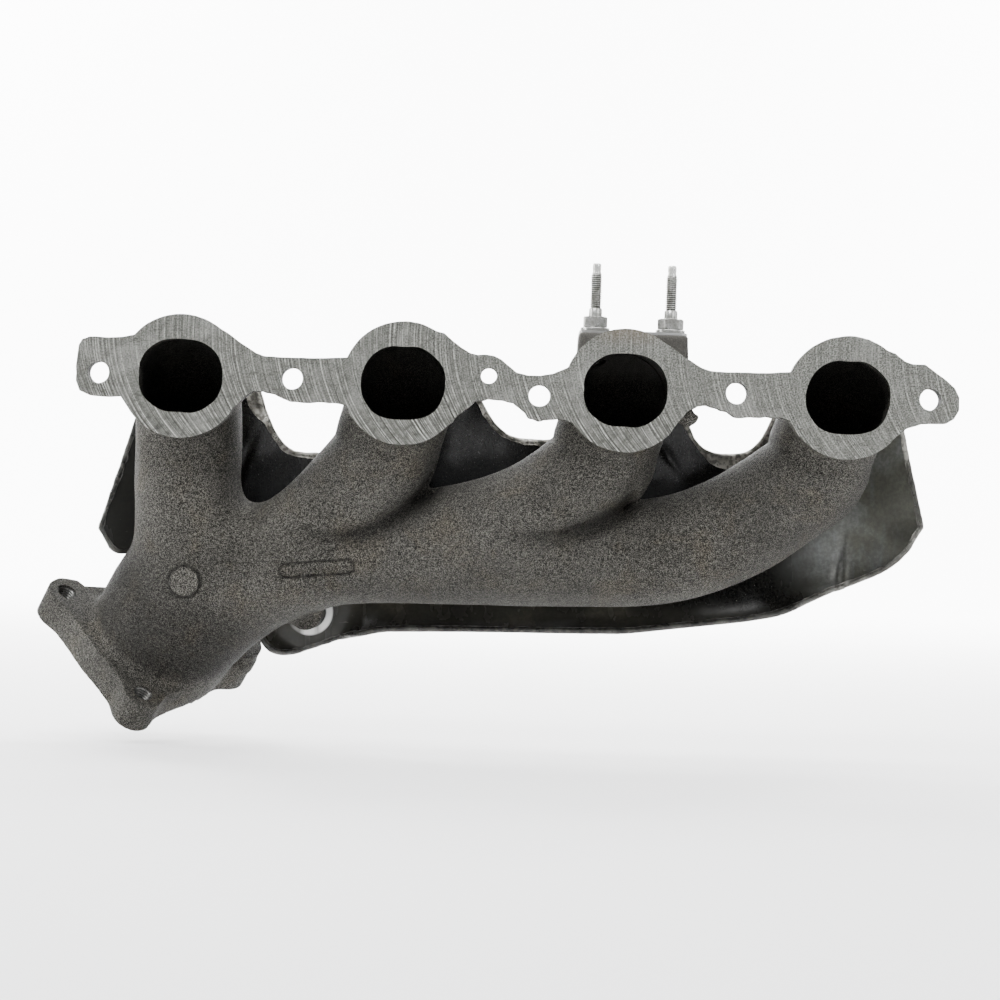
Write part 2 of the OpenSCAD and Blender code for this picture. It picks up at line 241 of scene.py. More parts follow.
def polygon_distance(Q, poly):
    """Signed distance in the plane to a closed polygon, negative inside."""
    d2 = np.full(len(Q), 1e9)
    inside = np.zeros(len(Q), bool)
    for a, b in zip(poly, np.roll(poly, -1, 0)):
        e, w = b - a, Q - a
        t = np.clip(w @ e / max(e @ e, 1e-12), 0, 1)
        d2 = np.minimum(d2, ((w - t[:, None] * e) ** 2).sum(1))
        cross = (a[1] > Q[:, 1]) != (b[1] > Q[:, 1])
        with np.errstate(divide="ignore", invalid="ignore"):
            xc = a[0] + (Q[:, 1] - a[1]) / (b[1] - a[1]) * e[0]
        inside ^= cross & (Q[:, 0] < xc)
    d = np.sqrt(d2)
    return np.where(inside, -d, d)


class Raster:
    """A plane distance function sampled once and read back by bilinear lookup."""

    def __init__(self, fn, lo, hi, step):
        self.lo, self.step = np.array(lo, float), step
        n = [int((h - l) / step) + 2 for l, h in zip(lo, hi)]
        gx, gy = np.meshgrid(lo[0] + step * np.arange(n[0]), lo[1] + step * np.arange(n[1]), indexing="ij")
        self.v = fn(np.stack([gx.ravel(), gy.ravel()], 1)).reshape(n).astype(np.float32)

    def __call__(self, x, y):
        fx = np.clip((x - self.lo[0]) / self.step, 0, self.v.shape[0] - 1.001)
        fy = np.clip((y - self.lo[1]) / self.step, 0, self.v.shape[1] - 1.001)
        i, j = fx.astype(np.int32), fy.astype(np.int32)
        u, w = fx - i, fy - j
        v = self.v
        return (v[i, j] * (1 - u) * (1 - w) + v[i + 1, j] * u * (1 - w)
                + v[i, j + 1] * (1 - u) * w + v[i + 1, j + 1] * u * w)


def flange_plane(Q):
    d = polygon_distance(Q, flange_polygon())
    P3 = np.stack([Q[:, 0], np.zeros(len(Q)), Q[:, 1]], 1)
    rough = value_noise(P3, 2.6, 3) * 0.35 + value_noise(P3, 6.0, 4) * 0.45
    low = ease((-3 - Q[:, 1]) / 4) * (np.min([np.abs(Q[:, 0] - x) for x in (-111.8, 0, 111.8)], 0) < 32)
    return d + rough * (0.25 + 0.9 * low)


def port_plane(Q):
    d = np.full(len(Q), FAR)
    for x in PORT_X:
        d = np.minimum(d, rounded(*(np.abs(Q - [x, 0]) - PORT_HALF).T, PORT_CORNER))
    P3 = np.stack([Q[:, 0], np.zeros(len(Q)), Q[:, 1]], 1)
    return d + value_noise(P3, 7.0, 5) * 0.35


def hole_plane(Q):
    d = np.full(len(Q), FAR)
    for x, z in BOLTS:
        d = np.minimum(d, np.hypot(Q[:, 0] - x, Q[:, 1] - z) - BOLT_R)
    return np.minimum(d, np.hypot(Q[:, 0] - LOCATOR[0], Q[:, 1] - LOCATOR[1]) - LOCATOR_R)


HEAD_AREA = ((-260, -60), (260, 60))
FLANGE_2D = Raster(flange_plane, *HEAD_AREA, 0.5)
PORT_2D = Raster(port_plane, *HEAD_AREA, 0.5)
HOLE_2D = Raster(hole_plane, *HEAD_AREA, 0.4)


def turned_left(p):
    return np.array([-p[1], p[0]])


def outlet_plane(Q):
    """Outline of the outlet flange in its own u, v."""
    d = np.hypot(Q[:, 0], Q[:, 1]) - OUT_PLATE_R
    ears = [EAR_AT * np.array([math.cos(a), math.sin(a)]) for a in EARS]
    b, a, c = ears
    for p, q in ((a, b), (b, c)):
        d = smin(d, polygon_distance(Q, np.array([[0, 0], p, q])) - 7.2, 3.0)
    # a straight web from the plate's round to ear a
    turn = EARS[1] + math.acos((OUT_PLATE_R - EAR_R[1]) / EAR_AT)
    tangent = np.array([math.cos(turn), math.sin(turn)])
    web = np.array([[0, 0], a, a + (EAR_R[1] - 0.3) * tangent, (OUT_PLATE_R - 0.3) * tangent])
    d = smin(d, polygon_distance(Q, web), 1.0)
    for e, r in zip(ears, EAR_R):
        side = turned_left(e)
        stem = np.array([e * 0.5 + side * 0.34, e + side * 0.12, e - side * 0.12, e * 0.5 - side * 0.34])
        d = smin(d, np.hypot(Q[:, 0] - e[0], Q[:, 1] - e[1]) - r, 6.0)
        d = smin(d, polygon_distance(Q, stem), 3.0)
    return d


OUTLET_2D = Raster(outlet_plane, (-90, -90), (90, 90), 0.5)


def outlet_frame(P):
    """The points' coordinates u, v, w in the outlet flange's own frame, w along its outward normal."""
    q = P - OUT_POS.astype(np.float32)
    return [q @ axis.astype(np.float32) for axis in (OUT_U, OUT_V, OUT_N)]


def block(P, centre, half, r):
    q = np.abs(P - np.array(centre, np.float32)) - np.array(half, np.float32) + r
    return np.sqrt((np.maximum(q, 0) ** 2).sum(1)) + np.minimum(q.max(1), 0) - r


def cylinder_y(P, x, z, r, y0, y1):
    across = np.hypot(P[:, 0] - x, P[:, 2] - z) - r
    return rounded(across, np.abs(P[:, 1] - (y0 + y1) / 2) - (y1 - y0) / 2, 0.6)


def boss_face(i):
    """Y of the face that shield bolt i's stack stands on."""
    return 79.0 if i == 0 else 88.0


def passages(P, tubes):
    """The gas passages: the runners' insides, the port mouths and the outlet bore."""
    d = smin(tubes[2] + WALL, tubes[3] + WALL, 5)
    d = smin(d, tubes[1] + WALL, 5)
    d = smin(d, tubes[0] + WALL, 8)
    d = np.maximum(d, 6.0 - P[:, 1])
    mouth = np.maximum(PORT_2D(P[:, 0], P[:, 2]), P[:, 1] - 10.0)
    d = smin(d, mouth, 3)
    u, v, w = outlet_frame(P)
    bore = np.maximum(np.hypot(u, v) - OUT_R, np.abs(w - 12) - 20)
    return np.where(w > 2, np.maximum(bore, -30), smin(d, bore, 4))


def pill(P, x, z, half, r, slope):
    """Plane distance in x, z to a stadium lying along a slightly sloping line."""
    c, s = math.cos(slope), math.sin(slope)
    a = (P[:, 0] - x) * c + (P[:, 2] - z) * s
    b = -(P[:, 0] - x) * s + (P[:, 2] - z) * c
    return np.hypot(np.maximum(np.abs(a) - half, 0), b) - r


def casting(P):
    """Signed distance to the casting."""
    x, y, z = P[:, 0], P[:, 1], P[:, 2]
    tubes = [tube(P, path) for path in RUNNERS]
    body = smin(tubes[2], tubes[3], 3.0)
    body = smin(body, tubes[1], 4)
    body = smin(body, tubes[0], 17)
    # lumps of the sand mould
    body = body + 0.30 * value_noise(P, 17.0, 11) + 0.10 * value_noise(P, 6.0, 12)

    # head flange: crisp at the milled face, rounded behind
    f2 = FLANGE_2D(x, z)
    r = 1.6
    body = smin(body, np.where(y > FLANGE_T - r - 2, rounded(f2, y - FLANGE_T, r), f2), 5)

    # stud boss with a slight draft
    lean = 1.0 - 0.045 * (BOSS_TOP - z) / 29.0
    taper = np.stack([(x - BOSS_X) * lean, y, z], 1)
    half = (27.6, (BOSS_Y1 - BOSS_Y0) / 2, 17)
    body = smin(body, block(taper, (0, (BOSS_Y0 + BOSS_Y1) / 2, BOSS_TOP - half[2]), half, 1.8), 3.5)

    # bosses for the shield bolts, the first on a rib below the log
    for i, (bx, bz) in enumerate(SHIELD_BOLTS):
        body = smin(body, cylinder_y(P, bx, bz, SHIELD_BOSS_R, 50, boss_face(i) - 0.1), 4)
    bx, bz = SHIELD_BOLTS[0]
    body = smin(body, block(P, (bx, 61, bz + 13), (6, 8.5, 13), 2), 5)

    # cast lump under the web beside port 3
    body = smin(body, np.sqrt((x - 88.0) ** 2 + (y - 6) ** 2 + (z + 12.6) ** 2)
                - 4.6 - value_noise(P, 3.0, 9) * 1.4, 1.5)

    # outlet flange
    u, v, w = outlet_frame(P)
    near = (np.abs(u) < 85) & (np.abs(v) < 85) & (w > -30)
    o2 = np.where(near, OUTLET_2D(u, v), FAR)
    step = 3.6 * ease((v - 2.0 - 0.25 * np.maximum(u - 30, 0)) / 1.6) * ease((u + 10) / 6)
    disc = np.maximum(rounded(o2, step - w, 0.9), w - OUT_T)
    neck = smin(body, disc, 7.0)
    body = np.where(w < OUT_T - 5, neck, np.maximum(np.minimum(neck, disc), w - OUT_T))
    body = np.where(w > OUT_T - 5, np.maximum(body, np.minimum(o2, w - OUT_T + 60)), body)

    # boss on the casting side of the far ear
    a = EARS[2]
    lug = np.hypot(u - (EAR_AT + 1) * math.cos(a), v - (EAR_AT + 1) * math.sin(a)) - 11.5
    lug = smax(lug, np.abs(w + 1) - 7.0, 1.2)
    body = np.where(w < OUT_T - 5, smin(body, lug, 3.0), body)

    # folds where the second and third runners sink into the log
    for cx, cz, rad, fade, crotch in FOLDS:
        off = np.hypot(x - cx, z - cz) - rad
        along = ease((x - fade) / (crotch - fade) * 1.5) * ease((crotch + 8 - x) / 10) * (z < cz)
        side = np.where(off > 0, off / 9.0, off / 4.0)
        body = body + np.where(y < 42, 3.6 * along * np.exp(-side * side), 0.0)

    # raised round pad on runner 1 and a shallow plain recess on the log
    pad = np.hypot(x - PAD[0], z - PAD[1]) - PAD[2]
    body = np.where(y < 45, np.minimum(body, smax(body - 1.3, pad, 0.4)), body)
    inset = pill(P, *INSET)
    body = np.where(y < 40, smax(body, -smax(inset, -(body + 1.2), 0.3), 0.3), body)

    # everything that is cut away: passages, flange holes, tapped holes
    d = np.maximum(np.maximum(body, -y), -passages(P, tubes))
    d = np.where(y < FLANGE_T + 6, np.maximum(d, -HOLE_2D(x, z)), d)
    for a in EARS:
        h = np.hypot(u - EAR_AT * math.cos(a), v - EAR_AT * math.sin(a))
        hole = np.maximum(h - TAPPED_R, -(w + 26))
        mouth = np.maximum(h - TAPPED_R - 0.5 + (w + 0.2) * 0.7, np.abs(w) - 3)
        d = np.maximum(d, -np.minimum(hole, mouth))
    for s in (-1, 1):
        h = np.hypot(x - BOSS_X - s * STUD_PITCH / 2, y - STUD_Y)
        d = np.maximum(d, -np.maximum(h - 3.1, 12.5 - z))
    return d


def evaluate(f, P, chunk=60000):
    out = np.empty(len(P), np.float32)
    for i in range(0, len(P), chunk):
        out[i:i + chunk] = f(P[i:i + chunk])
    return out


def gradient(f, P, e=0.06):
    """Unit gradient of f at the points, by central differences."""
    g = np.empty_like(P)
    for i in range(3):
        step = np.zeros(3, np.float32)
        step[i] = e
        g[:, i] = (evaluate(f, P + step) - evaluate(f, P - step)) / (2 * e)
    return g / np.maximum(np.linalg.norm(g, axis=1), 1e-6)[:, None]


def sampled(f, lo, n, h, s=4):
    """f on a grid of step h: exact near the surface, elsewhere from a grid s times as coarse."""
    m = -(-n // s) + 1
    axes = [lo[i] + h * s * np.arange(m[i]) for i in range(3)]
    coarse = np.stack(np.meshgrid(*axes, indexing="ij"), -1).reshape(-1, 3).astype(np.float32)
    D = evaluate(f, coarse).reshape(m)
    for i in range(3):
        D = D.repeat(s, i)
    off = s // 2
    D = D[off:off + n[0], off:off + n[1], off:off + n[2]].copy()
    band = np.argwhere(np.abs(D) < s * h * 0.87 + 2.2 * h + 2.0)
    D[tuple(band.T)] = evaluate(f, (lo + band * h).astype(np.float32))
    return D


def contour(f, lo, hi, h, keep):
    """Dual contouring of f(P) = 0 on a grid of step h, where keep(P) wants it. Returns vertices and quads."""
    lo, hi = np.array(lo, float), np.array(hi, float)
    n = np.ceil((hi - lo) / h).astype(int) + 1
    D = sampled(f, lo, n, h)

    # grid edges that cross the surface, along each axis
    groups, points = [], []
    for ax in range(3):
        a, b = [slice(None)] * 3, [slice(None)] * 3
        a[ax], b[ax] = slice(0, -1), slice(1, None)
        A, B = D[tuple(a)], D[tuple(b)]
        idx = np.argwhere((A < 0) != (B < 0))
        side = [o for o in range(3) if o != ax]
        idx = idx[np.all((idx[:, side] > 0) & (idx[:, side] < n[side] - 1), axis=1)]
        va, vb = A[tuple(idx.T)], B[tuple(idx.T)]
        p = lo + idx * h
        p[:, ax] += va / (va - vb) * h
        wanted = keep(p)
        groups.append((ax, idx[wanted], va[wanted] < 0))
        points.append(p[wanted])
    P = np.vstack(points).astype(np.float32)
    g = gradient(f, P)
    P -= np.clip(evaluate(f, P), -h * 0.5, h * 0.5)[:, None] * g

    # each crossing gives its plane to the four cells round its edge
    P, g = P.astype(float), g.astype(float)
    planes = np.column_stack([(g[:, :, None] * g[:, None, :]).reshape(-1, 9), g * (g * P).sum(1)[:, None], P,
                              np.ones(len(P))])
    ids, rows, quads = [], [], []
    start = 0
    for ax, idx, inside in groups:
        corners = []
        for d1, d2 in ((0, 0), (1, 0), (1, 1), (0, 1)):
            c = idx.copy()
            c[:, (ax + 1) % 3] -= d1
            c[:, (ax + 2) % 3] -= d2
            corners.append(np.ravel_multi_index(tuple(c.T), tuple(n)))
            rows.append(planes[start:start + len(idx)])
        start += len(idx)
        ids += corners
        q = np.column_stack(corners)
        q[~inside] = q[~inside][:, ::-1]
        quads.append(q)
    cells, own = np.unique(np.concatenate(ids), return_inverse=True)
    S = np.column_stack([np.bincount(own, column, len(cells)) for column in np.vstack(rows).T])

    # the point of each cell that fits its planes best
    M, rhs, count = S[:, :9].reshape(-1, 3, 3), S[:, 9:12], S[:, 15]
    mean = S[:, 12:15] / count[:, None]
    rhs = rhs - np.einsum("nij,nj->ni", M, mean)
    x = mean + np.linalg.solve(M + 0.035 * count[:, None, None] * np.eye(3), rhs[:, :, None])[:, :, 0]
    corner = lo + np.stack(np.unravel_index(cells, tuple(n)), 1) * h
    return np.clip(x, corner - 0.15 * h, corner + 1.15 * h), np.searchsorted(cells, np.vstack(quads))


# ---- meshes and pieces

def make(name, verts, faces, materials, which=None, sharp=35):
    """A mesh object from points in millimetres, riding on the root body."""
    mesh = bpy.data.meshes.new(name)
    mesh.from_pydata((np.asarray(verts, float) * MM).tolist(), [], [list(map(int, f)) for f in faces])
    mesh.validate()
    for m in materials:
        mesh.materials.append(m)
    if which is not None:
        mesh.polygons.foreach_set("material_index", np.asarray(which, np.int32))
    mesh.polygons.foreach_set("use_smooth", [True] * len(mesh.polygons))
    mesh.set_sharp_from_angle(angle=math.radians(sharp))
    mesh.update()
    ob = bpy.data.objects.new(name, mesh)
    bpy.context.scene.collection.objects.link(ob)
    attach(ob, "root")
    return ob


def slab(low, high, hole):
    """Verts and quads of a closed sheet between two grids of points, open in the cells where hole is true."""
    rows, w = low.shape[:2]
    total = rows * w
    k = (np.arange(rows - 1)[:, None] * w + np.arange(w - 1))[~hole]
    inner = np.column_stack([k, k + w, k + w + 1, k + 1])
    faces = [inner, inner[:, ::-1] + total]
    i, j = np.arange(rows - 1) * w, np.arange(w - 1)
    for k, step, turn in ((i, w, 1), (i + w - 1, w, -1), (j, 1, -1), (total - w + j, 1, 1)):
        faces.append(np.column_stack([k, k + total, k + total + step, k + step])[:, ::turn])
    return np.vstack([low.reshape(-1, 3), high.reshape(-1, 3)]), np.vstack(faces)


class Mesh:
    """Collects the turned surfaces of one piece."""

    def __init__(self):
        self.v, self.f = [], []

    def turn(self, centre, axis, heights, radius, steps, phase=0.0, close=False, flip=False):
        """Rings of points round an axis through centre, at radius(ring, angle), joined into a surface."""
        axis = Vector(axis).normalized()
        side = axis.orthogonal().normalized()
        up = axis.cross(side)
        first, rows = len(self.v), len(heights)
        for j, height in enumerate(heights):
            for i in range(steps):
                a = 2 * math.pi * i / steps
                out = side * math.cos(a + phase) + up * math.sin(a + phase)
                self.v.append(tuple(Vector(centre) + axis * height + out * radius(j, a)))
        for j in range(rows if close else rows - 1):
            for i in range(steps):
                k, l = first + j * steps, first + (j + 1) % rows * steps
                q = (k + i, k + (i + 1) % steps, l + (i + 1) % steps, l + i)
                self.f.append(q[::-1] if flip else q)

    def lathe(self, profile, centre, axis, steps, close=False):
        """Turns a profile of (radius, height)."""
        self.turn(centre, axis, [h for r, h in profile], lambda j, a: profile[j][0], steps, close=close)

    def thread(self, centre, axis, root, crest, pitch, length, steps, per=8, fade=1.0):
        """A thread that fades out at both ends. It is an inner thread where the crest is inside the root."""
        rows = int(length / pitch * per) + 1
        heights = [length * j / (rows - 1) for j in range(rows)]

        def radius(j, a):
            t = (heights[j] / pitch - a / (2 * math.pi)) % 1.0
            flank = min(1.0, max(0.0, (1 - abs(2 * t - 1) - 0.12) / 0.76))
            amount = min(1.0, heights[j] / (pitch * fade), (length - heights[j]) / (pitch * fade))
            return root + (crest - root) * flank * amount

        self.turn(centre, axis, heights, radius, steps, flip=crest < root)

    def hexagon(self, centre, axis, flats, height, turn=0.0):
        """A hexagonal head with both ends chamfered by a turned cone."""
        steps, chamfer, apothem = 72, 0.8, flats / 2
        levels = [0, 0.25, 0.5, 0.8, 1.1]
        levels += [height - h for h in reversed(levels)]

        def radius(j, a):
            edge = min(levels[j], height - levels[j])
            cone = apothem - 0.15 + edge * 1.9 if edge < chamfer else math.inf
            off = (a + math.pi / 6) % (math.pi / 3) - math.pi / 6
            return min(apothem / math.cos(off), apothem / math.cos(math.pi / 6) - 0.18, cone)

        first = len(self.v)
        self.turn(centre, axis, levels, radius, steps, phase=turn)
        last = len(self.v) - steps
        self.f += [tuple(range(first, first + steps))[::-1], tuple(range(last, last + steps))]

    def done(self, name, materials, sharp=35):
        return make(name, self.v, self.f, materials, sharp=sharp)


# ---- materials

def shade(k, *rgb):
    return tuple(k * v for v in rgb)


class Nodes:
    """Short names for building a node material."""

    def __init__(self, name):
        self.mat = bpy.data.materials.new(name)
        self.mat.use_nodes = True
        self.t = self.mat.node_tree
        self.t.nodes.clear()
        self.out = self.t.nodes.new("ShaderNodeOutputMaterial")
        self.bsdf = self.t.nodes.new("ShaderNodeBsdfPrincipled")
        self.t.links.new(self.bsdf.outputs[0], self.out.inputs[0])
        self.co = self.t.nodes.new("ShaderNodeTexCoord").outputs["Object"]

    def node(self, kind, **kw):
        n = self.t.nodes.new("ShaderNode" + kind)
        for k, v in kw.items():
            setattr(n, k, v)
        return n

    def put(self, socket, v):
        if hasattr(v, "is_output") and v.is_output:
            self.t.links.new(v, socket)
        else:
            socket.default_value = v

    def fill(self, n, **values):
        """Sets or links the named inputs of a node."""
        for name, v in values.items():
            self.put(n.inputs[name], v)
        return n

    def math(self, op, a, b=0.0):
        n = self.node("Math", operation=op)
        self.put(n.inputs[0], a)
        self.put(n.inputs[1], b)
        return n.outputs[0]

    def mul(self, *values):
        return functools.reduce(lambda a, b: self.math("MULTIPLY", a, b), values)

    def add(self, *values):
        return functools.reduce(lambda a, b: self.math("ADD", a, b), values)

    def sub(self, a, b):
        return self.math("SUBTRACT", a, b)

    def abs(self, a):
        return self.math("ABSOLUTE", a)

    def most(self, a, b):
        return self.math("MAXIMUM", a, b)

    def noise(self, scale, detail=2.0, rough=0.5, distort=0.0, vec=None):
        n = self.node("TexNoise")
        self.fill(n, Vector=self.co if vec is None else vec, Scale=scale, Detail=detail, Roughness=rough,
                  Distortion=distort)
        return n.outputs["Fac"]

    def noise1(self, w, scale, detail, rough):
        """Noise along one measure."""
        n = self.node("TexNoise", noise_dimensions="1D")
        self.fill(n, W=w, Scale=scale, Detail=detail, Roughness=rough)
        return n.outputs["Fac"]

    def voronoi(self, scale):
        return self.fill(self.node("TexVoronoi"), Vector=self.co, Scale=scale).outputs["Distance"]

    def ramp(self, fac, stops, k=1.0):
        """Colour ramp, its colours times k."""
        n = self.node("ValToRGB")
        el = n.color_ramp.elements
        while len(el) < len(stops):
            el.new(0.5)
        for e, (pos, col) in zip(el, stops):
            e.position = pos
            e.color = (*shade(k, *col), 1)
        self.put(n.inputs[0], fac)
        return n.outputs[0]

    def range(self, v, a, b, c=0.0, d=1.0, kind="LINEAR"):
        """Maps a..b to c..d."""
        n = self.node("MapRange", interpolation_type=kind)
        for i, x in enumerate((v, a, b, c, d)):
            self.put(n.inputs[i], x)
        return n.outputs[0]

    def fade(self, v, a, b, c=0.0, d=1.0):
        """Maps a..b smoothly to c..d."""
        return self.range(v, a, b, c, d, "SMOOTHSTEP")

    def blend(self, mask, a, b):
        """From number a where the mask is 0 to number b where it is 1."""
        return self.range(mask, 0.0, 1.0, a, b)

    def mix(self, fac, a, b, mode="MIX"):
        n = self.node("Mix", data_type="RGBA", blend_type=mode)
        self.put(n.inputs[0], fac)
        for s, v in ((n.inputs[6], a), (n.inputs[7], b)):
            self.put(s, (*v, 1) if isinstance(v, tuple) else v)
        return n.outputs[2]

    def split(self, vec=None):
        n = self.node("SeparateXYZ")
        self.put(n.inputs[0], self.co if vec is None else vec)
        return n.outputs

    def stretched(self, x, y, z):
        n = self.node("Mapping")
        self.put(n.inputs[0], self.co)
        n.inputs["Scale"].default_value = (x, y, z)
        return n.outputs[0]

    def far(self, a, b, ca, cb):
        """Distance in a plane from the point ca, cb."""
        d = [self.math("POWER", self.sub(v, c), 2.0) for v, c in ((a, ca), (b, cb))]
        return self.math("SQRT", self.add(*d))

    def dot(self, direction, origin):
        """Distance along a direction, in metres, from an origin."""
        n = self.node("VectorMath", operation="SUBTRACT")
        m = self.node("VectorMath", operation="DOT_PRODUCT")
        self.put(n.inputs[0], self.co)
        self.put(m.inputs[0], n.outputs[0])
        n.inputs[1].default_value = tuple(map(float, origin))
        m.inputs[1].default_value = tuple(map(float, direction))
        return m.outputs["Value"]

    def pointiness(self):
        return self.node("NewGeometry").outputs["Pointiness"]

    def bump(self, height, strength=0.5, distance=0.001, normal=None):
        n = self.fill(self.node("Bump"), Strength=strength, Distance=distance, Height=height)
        if normal is not None:
            self.put(n.inputs["Normal"], normal)
        return n.outputs[0]

    def finish(self, color, rough, metal, normal=None, spec=0.5):
        self.fill(self.bsdf, Roughness=rough, Metallic=metal)
        self.put(self.bsdf.inputs["Base Color"], color)
        self.put(self.bsdf.inputs["Specular IOR Level"], spec)
        if normal is not None:
            self.put(self.bsdf.inputs["Normal"], normal)
        return self.mat


def fold_shade_mask(n, x, z):
    """1 in the folds where runners 2 and 3 sink into the log, where painted shade and grime darken the iron.
    """
    fold = 0.0
    for cx, cz, rad, fade, crotch in FOLDS:
        off = n.sub(n.far(x, z, cx * MM, cz * MM), rad * MM)
        band = n.mul(n.fade(off, -0.0045, -0.0002), n.fade(off, 0.0006, 0.0105, 1.0, 0.0),
                     n.fade(x, fade * MM, (fade * 0.45 + crotch * 0.55) * MM),
                     n.fade(x, (crotch - 2) * MM, (crotch + 7) * MM, 1.0, 0.0),
                     n.range(z, cz * MM - 0.030, cz * MM - 0.022, 1.0, 0.0))
        fold = n.most(fold, band)
    return fold


def pad_masks(n, x, y, z):
    """The raised pad's top, and the lines of painted shade round it and round the plain recess."""
    front = n.range(y, 0.040, 0.045, 1.0, 0.0)
    px, pz, pr = (v * MM for v in PAD)
    disc = n.far(x, z, px, pz)
    top = n.mul(n.range(disc, pr - 0.0010, pr - 0.0002, 1.0, 0.0), front)
    rim = n.mul(n.range(disc, pr - 0.0004, pr + 0.0001),
                n.fade(disc, pr + 0.0003, pr + 0.0022, 1.0, 0.0), front)
    ix, iz, half, ir = (v * MM for v in INSET[:4])
    c, s = math.cos(INSET[4]), math.sin(INSET[4])
    dx, dz = n.sub(x, ix), n.sub(z, iz)
    along = n.add(n.mul(dx, c), n.mul(dz, s))
    across = n.sub(n.mul(dz, c), n.mul(dx, s))
    stadium = n.far(n.most(n.sub(n.abs(along), half), 0.0), across, 0.0, 0.0)
    edge = n.mul(n.fade(stadium, ir - 0.0014, ir - 0.0005),
                 n.range(stadium, ir + 0.0001, ir + 0.0007, 1.0, 0.0), front)
    return top, n.most(rim, edge)


def cast_iron(name="cast_iron", dark=1.0):
    """Sand-cast iron: dark warm grey with a pitted, speckled grain and brown mottling."""
    n = Nodes(name)
    grain, coarse = n.noise(2250, 1.0), n.noise(700, 3.0, 0.62)
    blotch, cloud = n.noise(42, 4.0, 0.62, 0.4), n.noise(13, 3.0, 0.55)
    mixed = n.add(n.mul(grain, 0.72), n.mul(coarse, 0.28))
    base = n.ramp(mixed, [(0.385, (0.0014, 0.0013, 0.0011)), (0.455, (0.0155, 0.0149, 0.0131)),
                          (0.52, (0.0375, 0.0360, 0.0318)), (0.61, (0.0920, 0.0882, 0.0780))], dark)
    brown = n.mix(1.0, base, (1.14, 1.00, 0.78), "MULTIPLY")
    base = n.mix(n.fade(blotch, 0.48, 0.70, 0.0, 0.38), base, brown)
    base = n.mix(n.fade(cloud, 0.44, 0.66, 0.0, 0.12), base, shade(dark, 0.048, 0.047, 0.045))
    base = n.mix(n.fade(n.pointiness(), 0.53, 0.64, 0.0, 0.30), base, (0.085, 0.082, 0.076))
    # painted shade and grime: concave creases are darkened
    crease = n.fade(n.pointiness(), 0.36, 0.49, 0.30, 1.0)

    # painted shade darkens the neck, broken up by noise; the stud boss is cleaner and smoother
    x, y, z = n.split()
    along = n.dot(OUT_N, OUT_POS * MM)
    neck = n.mul(n.fade(along, -0.075, -0.035), n.fade(along, -0.010, -0.002, 1.0, 0.0),
                 n.range(cloud, 0.3, 0.6, 0.6, 1.0))
    boss = n.mul(n.range(z, 0.004, 0.012), n.range(y, 0.0125, 0.0135),
                 n.range(n.abs(n.sub(x, BOSS_X * MM)), 0.029, 0.034, 1.0, 0.0))
    base = n.mix(n.mul(boss, 0.80), base, shade(dark, 0.052, 0.050, 0.046))

    # broad tone: painted shade in the folds (with grime), along the lines round the pad and the recess, and
    # where the surface faces down or to the right; random broad tone besides
    top, marks = pad_masks(n, x, y, z)
    facing = n.split(n.node("NewGeometry").outputs["Normal"])
    broad = n.noise(17, 2.0, 0.5, 0.0, n.stretched(0.7, 1, 1.5))
    tint = n.mul(n.blend(neck, 1.0, 0.50), n.blend(boss, 1.0, 1.45), n.blend(fold_shade_mask(n, x, z), 1.0, 0.42),
                 n.fade(facing[2], -0.95, -0.25, 0.85, 1.0), n.fade(facing[0], 0.35, 0.95, 1.0, 0.62),
                 n.range(broad, 0.36, 0.64, 0.80, 1.22), n.blend(marks, 1.0, 0.45), n.blend(top, 1.0, 1.5))
    color = n.mix(1.0, n.mix(1.0, base, crease, "MULTIPLY"), tint, "MULTIPLY")
    height = n.add(mixed, n.mul(n.noise(2600, 2.0, 0.6), 0.25))
    normal = n.bump(height, 0.9, 0.0008, n.bump(n.noise(170, 3.0, 0.6), 0.30, 0.0012))
    return n.finish(color, n.range(grain, 0.3, 0.7, 0.78, 0.55), 0.04, normal, 0.07)


